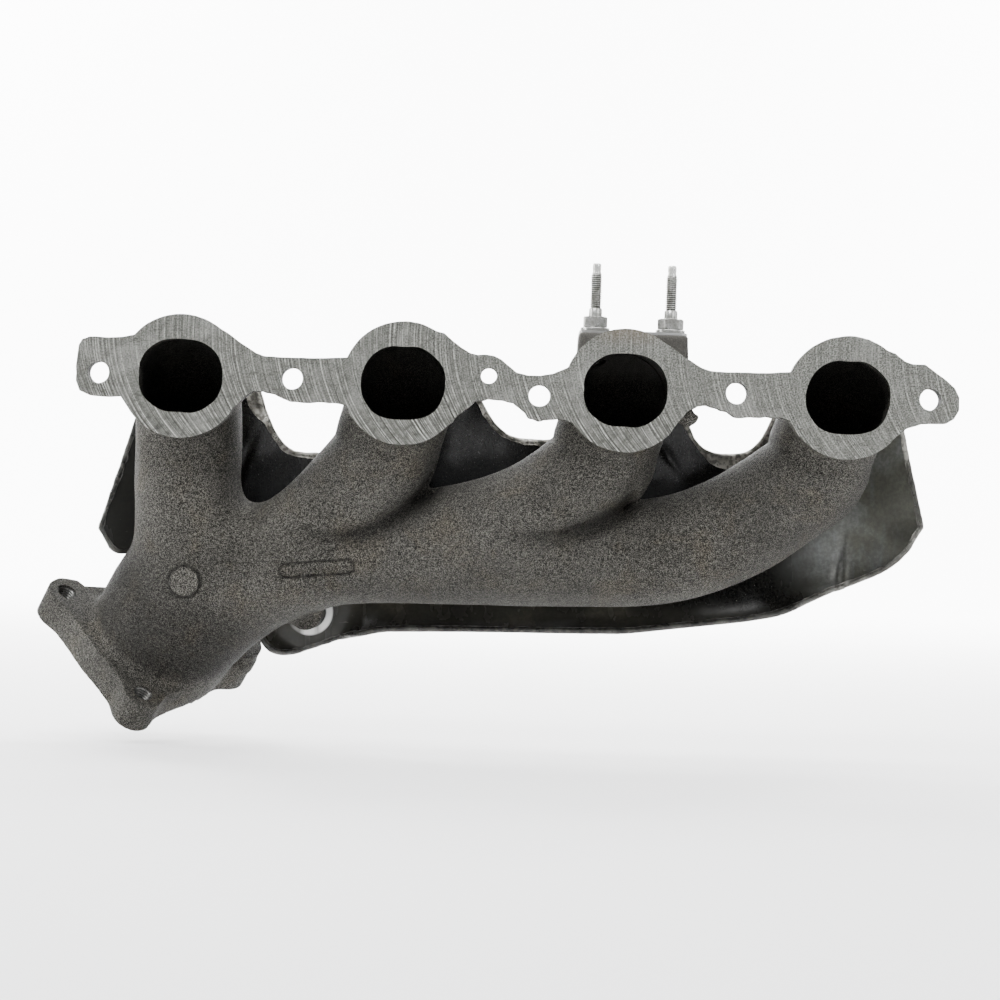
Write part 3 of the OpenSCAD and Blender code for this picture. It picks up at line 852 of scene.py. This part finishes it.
def milled():
    """The machined head face: light grey iron with curved, broken cutter marks."""
    n = Nodes("milled_iron")
    x, y, z = n.split()
    # the marks are arcs of the cutter's radius, swept along X
    dz = n.sub(z, 0.024)
    sweep = n.add(x, n.math("SQRT", n.sub(0.078 ** 2, n.mul(dz, dz))))
    sweep = n.add(sweep, n.mul(n.noise(60), 0.0008))
    lines, broad = n.noise1(sweep, 900, 2.5, 0.66), n.noise1(sweep, 150, 2.0, 0.6)
    gate, fine, spot = n.noise(250, 3.0, 0.62), n.noise(1250, 2.0, 0.6), n.noise(48, 3.0, 0.6)
    broken = n.add(n.mul(lines, n.range(gate, 0.3, 0.7, 0.45, 1.0)),
                   n.mul(gate, n.range(gate, 0.3, 0.7, 0.50, 0.0)))
    low = n.fade(z, -0.034, 0.010, 1.0, n.fade(x, -0.060, 0.030, 0.46, 0.12))
    low = n.mul(low, n.fade(x, 0.105, 0.150, 1.0, 0.45))
    marks = n.ramp(broken, [(0.38, (0.012, 0.012, 0.010)), (0.45, (0.060, 0.061, 0.054)),
                            (0.52, (0.125, 0.126, 0.113)), (0.59, (0.26, 0.262, 0.24)),
                            (0.67, (0.55, 0.55, 0.51))])
    calm = n.ramp(fine, [(0.36, (0.034, 0.0345, 0.030)), (0.50, (0.108, 0.109, 0.098)),
                         (0.64, (0.260, 0.262, 0.240))])
    base = n.mix(n.add(n.mul(low, 0.70), 0.28), calm, marks)
    base = n.mix(n.range(broad, 0.35, 0.65, 0.0, 0.35), base, (0.078, 0.078, 0.070))
    base = n.mix(n.fade(spot, 0.48, 0.70, 0.0, 0.40), base, (0.21, 0.21, 0.196))
    base = n.mix(n.range(fine, 0.48, 0.32, 0.0, 0.60), base, (0.040, 0.040, 0.036))
    rust = n.mul(n.fade(z, 0.020, 0.031), n.fade(n.abs(n.sub(x, 0.056)), 0.004, 0.022, 1.0, 0.0),
                 n.range(spot, 0.3, 0.7, 0.2, 0.6))
    color = n.mix(rust, base, (0.13, 0.092, 0.058))
    normal = n.bump(n.add(broken, n.mul(fine, 0.4)), 0.6, 0.0004)
    return n.finish(color, n.range(broken, 0.3, 0.7, 0.55, 0.36), 0.40, normal, 0.35)


def foil():
    """Foil on the inside of the shield, glossy and smudged: its near-black colour is painted shade and
    painted reflection of the dark casting, less dark on the bottom strip and the left end, greyer towards +X.
    """
    n = Nodes("foil_painted_shade")
    x, y, z = n.split()
    smudge = n.noise(26, 3.0, 0.5, 0.2)
    streak_noise = n.noise(85, 3.0, 0.55, 0.1, n.stretched(1.5, 1, 0.35))
    scratch = n.noise(260, 3.0, 0.7, 0.2, n.stretched(0.25, 1, 1.6))
    right = n.fade(n.add(x, n.mul(smudge, 0.03)), 0.155, 0.20)
    # painted shade: a near-black base, lighter on the bottom strip, the left end and towards +X
    dark = n.ramp(smudge, [(0.30, (0.0012, 0.0012, 0.0012)), (0.55, (0.0028, 0.0028, 0.0028)),
                           (0.78, (0.008, 0.008, 0.0075))])
    strip = n.ramp(smudge, [(0.32, (0.0230, 0.0222, 0.0194)), (0.52, (0.0370, 0.0354, 0.0300)),
                            (0.70, (0.0700, 0.0655, 0.0520))])
    olive = n.ramp(smudge, [(0.28, (0.024, 0.024, 0.020)), (0.50, (0.054, 0.054, 0.045)),
                            (0.74, (0.105, 0.108, 0.106))])
    dark = n.mix(n.fade(z, -0.118, -0.104, 1.0, 0.0), dark, strip)
    dark = n.mix(n.fade(x, -0.185, -0.165, 1.0, 0.0), dark, (0.0170, 0.0170, 0.0160))
    base = n.mix(right, dark, olive)
    # painted reflection: pale bluish streaks, mostly towards +X
    base = n.mix(n.mul(n.fade(streak_noise, 0.50, 0.74, 0.0, 0.22), n.blend(right, 0.06, 1.0)),
                 base, (0.12, 0.127, 0.140))
    base = n.mix(n.range(n.noise(520, 2.0, 0.6), 0.40, 0.62, 0.30, 0.0), base, (0.020, 0.020, 0.017))
    base = n.mix(n.fade(scratch, 0.68, 0.82, 0.0, 0.35), base, (0.22, 0.22, 0.21))
    # bare metal on the lip round the first shield bolt's hole
    bx, bz = SHIELD_BOLTS[0]
    ring = n.far(x, z, bx * MM, bz * MM)
    lip = n.mul(n.range(ring, 0.0085, 0.0092), n.range(ring, 0.0118, 0.0128, 1.0, 0.0),
                n.fade(n.sub(x, z), 0.008, 0.018))
    base = n.mix(lip, base, n.ramp(streak_noise, [(0.35, (0.16, 0.16, 0.15)), (0.55, (0.60, 0.60, 0.58))]))
    rough = n.add(n.range(streak_noise, 0.3, 0.7, 0.20, 0.30), n.mul(right, 0.16))
    normal = n.bump(n.noise(900), 0.06, 0.0002, n.bump(n.noise(38, 2.0, 0.4, 0.2), 0.28, 0.0022))
    return n.finish(base, rough, n.blend(right, 0.02, 0.44), normal, 0.19)


def hem_metal():
    """The folded edge of the shield: scuffed aluminium sheet, darker and duller below, lighter and more
    metallic in the notches.
    """
    n = Nodes("hem_aluminium")
    x, y, z = n.split()
    hem_tone, fleck = n.noise(75, 3.0, 0.5, 0.2), n.noise(420)
    light = n.ramp(hem_tone, [(0.28, (0.045, 0.043, 0.037)), (0.44, (0.120, 0.115, 0.101)),
                          (0.56, (0.255, 0.246, 0.220)), (0.72, (0.490, 0.475, 0.430))])
    dull = n.ramp(hem_tone, [(0.35, (0.008, 0.008, 0.007)), (0.55, (0.020, 0.020, 0.018)),
                         (0.74, (0.070, 0.069, 0.063))])
    high = n.mul(n.fade(z, -0.058, -0.020), n.fade(n.abs(x), 0.168, 0.180, 1.0, 0.0))
    dull = n.mix(n.fade(x, 0.150, 0.175), dull, n.mix(0.30, dull, light))
    base = n.mix(high, dull, light)
    base = n.mix(n.fade(fleck, 0.47, 0.62, 0.0, 0.72), base, (0.040, 0.038, 0.033))
    normal = n.bump(fleck, 0.20, 0.0004, n.bump(n.noise(110, 2.0, 0.5, 0.3), 0.5, 0.0018))
    return n.finish(base, n.range(fleck, 0.3, 0.7, 0.26, 0.45), n.blend(high, 0.10, 0.70), normal, 0.28)


def outer_skin():
    """Outside of the shield: rolled aluminium with a pebbled texture and handling marks."""
    n = Nodes("shield_aluminium")
    smear = n.noise(22, 4.0, 0.6, 0.5)
    scratch = n.noise(200, 3.0, 0.7, 0.1, n.stretched(0.12, 1, 1.8))
    base = n.ramp(smear, [(0.30, (0.27, 0.266, 0.252)), (0.55, (0.40, 0.397, 0.385)),
                          (0.78, (0.52, 0.518, 0.508))])
    base = n.mix(n.fade(scratch, 0.60, 0.78, 0.0, 0.4), base, (0.70, 0.70, 0.69))
    # painted shade: concave folds are darkened
    base = n.mix(n.fade(n.pointiness(), 0.44, 0.49, 0.45, 0.0), base, (0.16, 0.155, 0.145))
    normal = n.bump(n.voronoi(330), 0.30, 0.0005, n.bump(n.noise(45, 3.0), 0.35, 0.0018))
    return n.finish(base, n.range(smear, 0.3, 0.7, 0.42, 0.28), 0.9, normal)


def fibre():
    """Pressed mineral fibre between the shield's skins."""
    n = Nodes("mineral_fibre")
    strand = n.noise(700, 4.0, 0.7, 1.2)
    base = n.ramp(strand, [(0.3, (0.30, 0.285, 0.25)), (0.7, (0.62, 0.60, 0.54))])
    base = n.mix(n.range(n.noise(60, 3.0), 0.4, 0.7, 0.0, 0.5), base, (0.30, 0.27, 0.22))
    return n.finish(base, 0.95, 0.0, n.bump(strand, 0.8, 0.0006))


def zinc(name="zinc", dull=0.0):
    """Zinc plate with a faint mottled bloom and painted shade in the thread roots."""
    n = Nodes(name)
    bloom, speck = n.noise(380, 3.0, 0.6), n.noise(1500, 2.0, 0.6)
    k = 1 - dull
    base = n.ramp(bloom, [(0.30, (0.22, 0.217, 0.198)), (0.50, (0.40, 0.40, 0.376)),
                          (0.72, (0.66, 0.66, 0.64))], k)
    base = n.mix(n.fade(speck, 0.54, 0.70, 0.0, 0.55), base, shade(k, 0.13, 0.127, 0.11))
    # painted shade: concave spots are darkened
    base = n.mix(n.fade(n.pointiness(), 0.42, 0.495, 0.9, 0.0), base, (0.022, 0.021, 0.018))
    # painted shade in the roots of the studs' threads
    x, y, z = n.split()
    across = n.sub(n.abs(n.sub(x, BOSS_X * MM)), STUD_PITCH / 2 * MM)
    core = n.mul(n.fade(n.far(across, y, 0.0, STUD_Y * MM), 0.00248, 0.00276, 1.0, 0.0),
                 n.range(z, 0.0425, 0.0430), n.range(z, 0.0600, 0.0605, 1.0, 0.0))
    base = n.mix(n.mul(core, 0.88), base, (0.020, 0.019, 0.016))
    # the hexagons and washers are greyer than the threads
    base = n.mix(n.range(z, 0.0400, 0.0425, 0.50, 0.0), base, shade(k, 0.085, 0.084, 0.078))
    return n.finish(base, n.range(bloom, 0.3, 0.7, 0.42, 0.24), 0.85, n.bump(speck, 0.25, 0.0002))


def paper():
    """Pale paper of the backdrop."""
    n = Nodes("backdrop")
    tone = n.noise(1.5, 2.0)
    base = n.ramp(tone, [(0.3, (0.92, 0.92, 0.92)), (0.7, (0.95, 0.95, 0.95))])
    return n.finish(base, 0.75, 0.0, spec=0.2)


IRON, FACE = cast_iron(), milled()
# soot and painted shade: cast iron darkened to 0.35 for the passages, port mouths and outlet bore
BORE_SOOT_AND_SHADE = cast_iron("bore_soot_and_shade", 0.35)
FOIL, HEM, SKIN, FIBRE = foil(), hem_metal(), outer_skin(), fibre()
ZINC, DULL, TAPPED = zinc(), zinc("dull_plate", 0.55), zinc("tapped_iron", 0.70)


# ---- the casting

STEP = 1.45
LO, HI = (-252, -4, -186), (228, 126, 36)


def deep_inside(P):
    """True where a point lies on a passage wall well away from every mouth."""
    p = P.astype(np.float32)
    wall = evaluate(lambda c: passages(c, [tube(c, path) for path in RUNNERS]), p)
    return (np.abs(wall) < 1.0) & (p[:, 1] > 24) & (outlet_frame(p)[2] < -22)


verts, quads = contour(casting, LO, HI, STEP, keep=lambda p: ~deep_inside(p))
# the head face is milled flat, and the port mouths and the outlet bore carry soot and painted shade
verts[verts[:, 1] < 0.8, 1] = 0.0
flat = np.all(verts[quads][:, :, 1] < 0.06, axis=1)
centres = verts[quads].mean(1)
soot_and_shade = ~flat & (centres[:, 1] < 30) & (PORT_2D(centres[:, 0], centres[:, 2]) < 0.9)
u, v, w = outlet_frame(centres)
soot_and_shade |= (np.hypot(u, v) < OUT_R + 0.9) & (w < OUT_T - 0.6) & (w > -24)
shell = make("casting_shell", verts, quads, [IRON, FACE, BORE_SOOT_AND_SHADE], flat + 2 * soot_and_shade, sharp=38)
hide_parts(*CASTING)

verts, quads = contour(casting, LO, HI, 3.6, keep=deep_inside)
bore = make("casting_passages", verts, quads, [BORE_SOOT_AND_SHADE], sharp=60)
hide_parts(*CASTING)

# threads in the outlet flange's tapped holes
tapped = Mesh()
for a in EARS:
    foot = OUT_POS + OUT_U * EAR_AT * math.cos(a) + OUT_V * EAR_AT * math.sin(a) + OUT_N * 0.7
    tapped.thread(foot, OUT_N, 5.1, 4.25, 1.5, OUT_T - 1.2, 40, fade=0.5)
tapped = tapped.done("casting_threads", [TAPPED], sharp=50)
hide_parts(*CASTING)


# ---- the heat shield

SHIELD_Y = 88.0
LOWER = np.array([(-215, -74), (-213.5, -83), (-210, -89), (-203, -91), (-197, -88), (-190, -77), (-178, -67),
                  (-164, -64), (-150, -68), (-141, -80), (-135, -100), (-131.5, -126), (-127, -136),
                  (-121, -140.6), (-112, -140.4), (-104.5, -138.8), (-93, -134), (-82, -130), (-65, -125.9),
                  (-25, -124.6), (28, -123.7), (62, -123), (99, -118), (125, -114.6), (143, -111.2),
                  (166, -101), (184, -94), (198, -87.6), (208, -80), (213.5, -72), (217, -60)])
NOTCHES = [(-107.0, 33.0, -36.5), (13.0, 38.0, -25.5), (115.0, 31.0, -29.8)]


def lower_edge(x):
    return sum(np.interp(x + o, LOWER[:, 0], LOWER[:, 1]) for o in (-4, -2, 0, 2, 4)) / 5


def upper_edge(x):
    z = 13.0 - 18.0 * ease((np.abs(x - 2) - 172) / 30)
    for c, w, floor in NOTCHES:
        a = np.clip(np.abs(x - c) / w, 0, 1)
        z = np.minimum(z, floor + (13.5 - floor) * a ** 3.2 + 40 * (a >= 1))
    return z


def end_curl(x):
    return 20 * ease((np.abs(x - 1) - 168) / 60) ** 1.2


# centre x, centre z, direction, length and depth of each crease
DENTS = [(176, -88, 1.45, 17, 1.5), (179, -90, 1.5, 13, -1.2), (84, -31, 2.2, 8, -0.9),
         (-150, -60, 1.2, 25, 0.9), (40, -118, 0.1, 30, 0.6)]


def dents(x, z):
    """Handling dents and pressed folds, in millimetres along +Y."""
    P = np.stack([x, np.zeros_like(x), z], -1).reshape(-1, 3)
    soft = (value_noise(P, 34, 21) * 1.3 + value_noise(P, 15, 22) * 0.55).reshape(x.shape)
    crease = np.zeros_like(x)
    for cx, cz, ang, length, deep in DENTS:
        a = (x - cx) * math.cos(ang) + (z - cz) * math.sin(ang)
        b = -(x - cx) * math.sin(ang) + (z - cz) * math.cos(ang)
        crease += deep * np.exp(-(a / length) ** 2 - (b / 2.2) ** 2)
    return soft + crease


def depth(x, z):
    """Depth of the shield's inner face."""
    low = lower_edge(x)
    reach = np.maximum(-80 - low + 3, 30)
    lip = 56 + (SHIELD_Y - 56) * np.sqrt(np.maximum(0.05, 1 - np.clip((-80 - z) / reach, 0, 1) ** 2))
    top = ELBOW_Y + np.sqrt(np.maximum((SHIELD_Y - ELBOW_Y) ** 2 - (z + 38) ** 2, 1))
    y = np.where(z < -80, lip, np.where(z < -38, SHIELD_Y, top)) - end_curl(x)
    calm = np.ones_like(x)
    for bx, bz in SHIELD_BOLTS:
        calm *= ease((np.hypot(x - bx, z - bz) - 13) / 14)
    y = y + (dents(x, z) - 0.8) * calm
    near = ease((30 - np.hypot(x - SHIELD_BOLTS[0][0], z - SHIELD_BOLTS[0][1])) / 10)
    return y + (boss_face(0) - y) * near


COLS, ROWS = ((460, 100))


def sheet_grid():
    u = np.linspace(0, 1, COLS + 1)[:, None]
    v = np.linspace(0, 1, ROWS + 1)[None, :]
    s = v * 0.65 + v * v * 0.35
    xb, xt = -215 + 432 * u, -193 + 396 * u
    zb, zt = lower_edge(xb), upper_edge(xt)
    x, z = xb + (xt - xb) * s, zb + (zt - zb) * s
    return x, z


def normals(x, z, e=0.6):
    gx = (depth(x + e, z) - depth(x - e, z)) / (2 * e)
    gz = (depth(x, z + e) - depth(x, z - e)) / (2 * e)
    n = np.stack([-gx, np.ones_like(gx), -gz], -1)
    return n / np.linalg.norm(n, axis=-1, keepdims=True)


SX, SZ = sheet_grid()
SN = normals(SX, SZ)
SP = np.stack([SX, depth(SX, SZ), SZ], -1)


def layer(low, high):
    """One closed layer of the shield between two lifts off the inner face, with its bolt holes."""
    mid = (SP[:-1, :-1] + SP[1:, 1:]) / 2
    hole = np.min([np.hypot(mid[..., 0] - bx, mid[..., 2] - bz) for bx, bz in SHIELD_BOLTS], 0) < 3.6
    return slab(SP + SN * low, SP + SN * high, hole)


# lifts of the three layers off the shield's inner face
FOIL_LIFTS, CORE_LIFTS, SKIN_LIFTS = (0.0, 0.45), (0.47, 1.85), (1.87, 2.65)
V, F = layer(*FOIL_LIFTS)
inner = make("shield_inner_foil", V, F, [FOIL], sharp=45)
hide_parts("heat_shield_inner")
V, F = layer(*CORE_LIFTS)
core = make("shield_fibre_core", V, F, [FIBRE], sharp=45)
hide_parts("heat_shield_core")


def boundary():
    """The sheet's edge as one closed loop: points, sheet normals and inward directions."""
    idx = ([(i, 0) for i in range(COLS + 1)] + [(COLS, j) for j in range(1, ROWS + 1)]
           + [(i, ROWS) for i in range(COLS - 1, -1, -1)] + [(0, j) for j in range(ROWS - 1, 0, -1)])
    p = np.array([SP[i, j] for i, j in idx])
    n = np.array([SN[i, j] for i, j in idx])
    t = np.roll(p, -3, 0) - np.roll(p, 3, 0)
    t /= np.maximum(np.linalg.norm(t, axis=1), 1e-9)[:, None]
    inward = np.cross(t, n)
    inward /= np.linalg.norm(inward, axis=1)[:, None]
    return p, n, inward


HEM_RX, HEM_RY, HEM_CENTRE = 1.55, 1.62, 1.15
# where the hem lies wider over the foil: centre x, centre z and half sizes
HEM_PATCHES = [(-136, -8, 7, 12), (139, -15, 12, 17), (117, -31, 12, 5), (28, -26, 12, 4)]


def hem():
    """The outer skin's folded edge: round the rim and back a few millimetres over the inner foil."""
    p, n, inward = boundary()
    arc = np.concatenate([[0], np.cumsum(np.linalg.norm(np.diff(p, axis=0), axis=1))])
    A = np.stack([arc, np.zeros_like(arc), np.zeros_like(arc)], 1)
    high = (p[:, 2] > -60) & (np.abs(p[:, 0]) < 190)
    patch = sum(np.exp(-(((p[:, 0] - cx) / wx) ** 2 + ((p[:, 2] - cz) / wz) ** 2) ** 2)
                for cx, cz, wx, wz in HEM_PATCHES)
    width = (np.where(high, 1.3, 0.6) + 5.2 * np.minimum(patch, 1) + value_noise(A, 9, 31) * 0.5
             + value_noise(A, 3, 32) * 0.4)
    # rows across the hem: inward distance or its share of the width, lift, and 1 where it lies on the foil
    profile = [(HEM_RX * math.cos(a), HEM_CENTRE + HEM_RY * math.sin(a), 0)
               for a in map(math.radians, np.linspace(90, 270, 9))]
    profile += [(t, HEM_CENTRE - HEM_RY, 1) for t in (0.3, 0.65, 1.0)]
    V = []
    for d, lift, flat in profile:
        crumple = (value_noise(A + [0, d * 3 + flat * 7, 0], 4.2, 33)
                   + 0.6 * value_noise(A + [0, 5, flat * 9], 1.9, 34))
        if flat:
            off = width * d
            up = np.minimum(lift + 0.12 + 0.42 * crumple * (1 - d * 0.4) - 0.35 * d * (d > 0.9), -0.05)
        else:
            off = d + 0.22 * crumple
            up = lift + 0.18 * crumple
        V.append(p + inward * off[:, None] + n * up[:, None])
    m = len(p)
    i, j = np.arange(m), (np.arange(m) + 1) % m
    F = [np.column_stack([k + i, k + j, k + m + j, k + m + i]) for k in range(0, m * (len(profile) - 1), m)]
    return np.vstack(V), np.vstack(F)


V, F = layer(*SKIN_LIFTS)
HV, HF = hem()
outer = make("shield_outer_skin", np.vstack([V, HV]), np.vstack([F, HF + len(V)]), [SKIN, HEM],
             np.r_[np.zeros(len(F), int), np.ones(len(HF), int)], sharp=50)
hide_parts("heat_shield_outer")


# ---- tab, studs, bolts and washers

def tab():
    """Pressed tab from the stud boss to the shield's third lobe, with a rounded bend."""
    top = BOSS_TOP
    crown = SHIELD_Y - ELBOW_Y
    foot = (ELBOW_Y + crown * math.cos(math.radians(40)) + 3.4, -38 + crown * math.sin(math.radians(40)))
    bend = (50.5, top - 2.6)
    line = spline([(y, 0, z) for y, z in (
        (18.2, top + 0.75), (28, top + 0.75), (40, top + 0.75), (46.5, top + 0.2), bend,
        ((bend[0] + foot[0]) / 2, (bend[1] + foot[1]) / 2), (foot[0], foot[1] + 1.0))], 1.5)[:, [0, 2]]
    t = np.gradient(line, axis=0)
    t /= np.linalg.norm(t, axis=1)[:, None]
    nrm = np.column_stack([-t[:, 1], t[:, 0]])
    # the corners curl down and back a little
    xs = np.linspace(BOSS_X - 27.4, BOSS_X + 27.4, 56)
    edge = np.maximum(0, np.abs(xs - BOSS_X) - 24.4) / 3.0
    grids = []
    for lift in (-0.7, 0.7):
        yz = (line + nrm * lift)[:, None, :].repeat(len(xs), 1)
        yz[0, :, 0] += 1.6 * edge ** 2
        yz[:, :, 1] -= 0.25 * edge
        grids.append(np.dstack([np.broadcast_to(xs, yz.shape[:2]), yz]))
    mid = (grids[0][:-1, :-1] + grids[0][1:, 1:]) / 2
    hole = np.hypot(np.abs(mid[..., 0] - BOSS_X) - STUD_PITCH / 2, mid[..., 1] - STUD_Y) < 3.3
    hole[len(line) // 2:] = False
    V, F = slab(*grids, hole)
    ob = make("shield_tab_plate", V, F, [SKIN], sharp=50)
    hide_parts("shield_tab")


tab()
UP, OUTBOARD = (0, 0, 1), (0, 1, 0)
# the studs' heads sit on the tab's plate and a washer
SEAT = BOSS_TOP + TAB_T + WASHER_T


def washer(centre, axis, r, bore, node):
    """A flat washer, its edges eased on both sides."""
    m = Mesh()
    c = 0.25
    k = c * 1.4
    prof = [(bore, c), (bore + c, 0), (r - k, 0), (r, k), (r, WASHER_T - k), (r - k, WASHER_T),
            (bore + c, WASHER_T), (bore, WASHER_T - c)]
    m.lathe(prof, centre, axis, 64, close=True)
    ob = m.done(node + "_plate", [ZINC])
    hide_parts(node)


for side, tag, turn in ((-1, "left", 0.30), (1, "right", -0.18)):
    x = BOSS_X + side * STUD_PITCH / 2
    washer((x, STUD_Y, SEAT - WASHER_T), UP, 7.5, 3.4, "stud_washer_" + tag)
    m = Mesh()
    c = (x, STUD_Y, SEAT)
    m.hexagon(c, UP, 12.0, 5.6, turn=turn)
    m.lathe([(3.9, 5.55), (3.55, 5.9), (3.42, 6.6), (3.40, 9.3), (3.1, 9.9), (2.6, 10.2)], c, UP, 40)
    m.thread((x, STUD_Y, SEAT + 9.9), UP, 2.42, 3.0, 1.0, 17.6, steps=36, per=10)
    m.lathe([(2.42, 27.2), (2.42, 27.7), (2.02, 28.7), (2.05, 29.4), (2.17, 30.2), (2.17, 32.2),
             (1.95, 32.75), (1.45, 33.0), (0.01, 33.0)], c, UP, 36)
    m.lathe([(3.0, 0.05), (3.0, -2.6)], c, UP, 32)
    m.thread((x, STUD_Y, SEAT - 18.2), UP, 2.45, 3.0, 1.0, 15.6, steps=32, per=8)
    m.lathe([(0.01, -18.2), (2.3, -18.2), (2.45, -18.0)], c, UP, 32)
    ob = m.done("stud_" + tag + "_bolt", [ZINC], sharp=32)
    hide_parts("stud_bolt_" + tag)

for i, (bx, bz) in enumerate(SHIELD_BOLTS):
    face = boss_face(i) + SHEET_T + 0.02
    seat = face + WASHER_T
    washer((bx, face, bz), OUTBOARD, 9.5, 3.3, "shield_washer_%d" % (i + 1))
    m = Mesh()
    c = (bx, seat, bz)
    m.lathe([(3.2, 0.0), (6.9, 0.0), (7.2, 0.25), (7.15, 0.8), (6.2, 1.5), (4.8, 1.9)], c, OUTBOARD, 56)
    m.hexagon((bx, seat + 0.6, bz), OUTBOARD, 10.0, 4.9, turn=0.4 * i)
    m.thread((bx, seat - 12.9, bz), OUTBOARD, 2.45, 3.0, 1.0, 13.0, steps=28, per=8)
    m.lathe([(0.01, -12.9), (2.2, -12.9), (2.45, -12.7)], c, OUTBOARD, 28)
    ob = m.done("shield_bolt_%d_screw" % (i + 1), [DULL], sharp=32)
    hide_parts("shield_bolt_%d" % (i + 1))


# ---- stage, light and camera

def backdrop():
    """Pale floor that sweeps up behind into a wall."""
    floor_z, wall_y, r = -0.190, 3.0, 0.9
    prof = [(-2.6, floor_z), (wall_y - r, floor_z)]
    prof += [(wall_y - r + r * math.sin(a), floor_z + r - r * math.cos(a))
             for a in np.linspace(0, math.pi / 2, 16)[1:]]
    prof += [(wall_y, 2.2)]
    V = [(x, y, z) for y, z in prof for x in (-3.0, 3.0)]
    F = [(2 * i, 2 * i + 1, 2 * i + 3, 2 * i + 2) for i in range(len(prof) - 1)]
    mesh = bpy.data.meshes.new("backdrop")
    mesh.from_pydata(V, [], F)
    mesh.materials.append(paper())
    mesh.polygons.foreach_set("use_smooth", [True] * len(mesh.polygons))
    ob = bpy.data.objects.new("backdrop", mesh)
    bpy.context.scene.collection.objects.link(ob)


backdrop()


def softbox(name, at, aim, size, power):
    light = bpy.data.lights.new(name, "AREA")
    light.shape = "RECTANGLE"
    light.size, light.size_y = size
    light.energy = power
    ob = bpy.data.objects.new(name, light)
    ob.location = at
    ob.rotation_euler = (Vector(aim) - Vector(at)).to_track_quat("-Z", "Y").to_euler()
    bpy.context.scene.collection.objects.link(ob)


softbox("key", (-0.75, -1.6, 1.7), (0, 0.03, -0.05), (1.3, 0.9), 60)
softbox("fill", (1.5, -1.5, 1.0), (0, 0.03, -0.05), (0.9, 0.9), 21)
softbox("left_strip", (-1.5, 0.0, 0.3), (-0.1, 0.04, -0.05), (0.4, 1.2), 34)
softbox("right_strip", (1.5, 0.1, 0.2), (0.1, 0.04, -0.05), (0.5, 1.4), 8)
softbox("top", (0.0, 0.1, 1.9), (0, 0.05, -0.05), (1.8, 0.9), 38)
softbox("wall_left", (-1.2, 2.0, 1.3), (0, 3.0, 0.2), (1.4, 1.0), 210)
softbox("wall_right", (1.2, 2.0, 1.3), (0, 3.0, 0.2), (1.4, 1.0), 210)
softbox("floor_behind", (0.0, 1.5, 1.6), (0, 1.4, -0.19), (2.4, 0.8), 60)

world = bpy.data.worlds.new("studio")
bpy.context.scene.world = world
world.use_nodes = True
world.node_tree.nodes["Background"].inputs[0].default_value = (0.95, 0.97, 1.0, 1)
world.node_tree.nodes["Background"].inputs[1].default_value = 0.78

roll = math.radians(1.9)
cam = bpy.data.objects.new("camera", bpy.data.cameras.new("camera"))
cam.data.sensor_width = 36.0
cam.data.lens = 96.84
right = Vector((math.cos(roll), 0, math.sin(roll)))
up = Vector((-math.sin(roll), 0, math.cos(roll)))
back = Vector((0, -1, 0))
turned = Matrix((right, up, back)).transposed().to_4x4()
cam.matrix_world = Matrix.Translation((-0.00534, -1.350, -0.0570)) @ turned
bpy.context.scene.collection.objects.link(cam)
bpy.context.scene.camera = cam
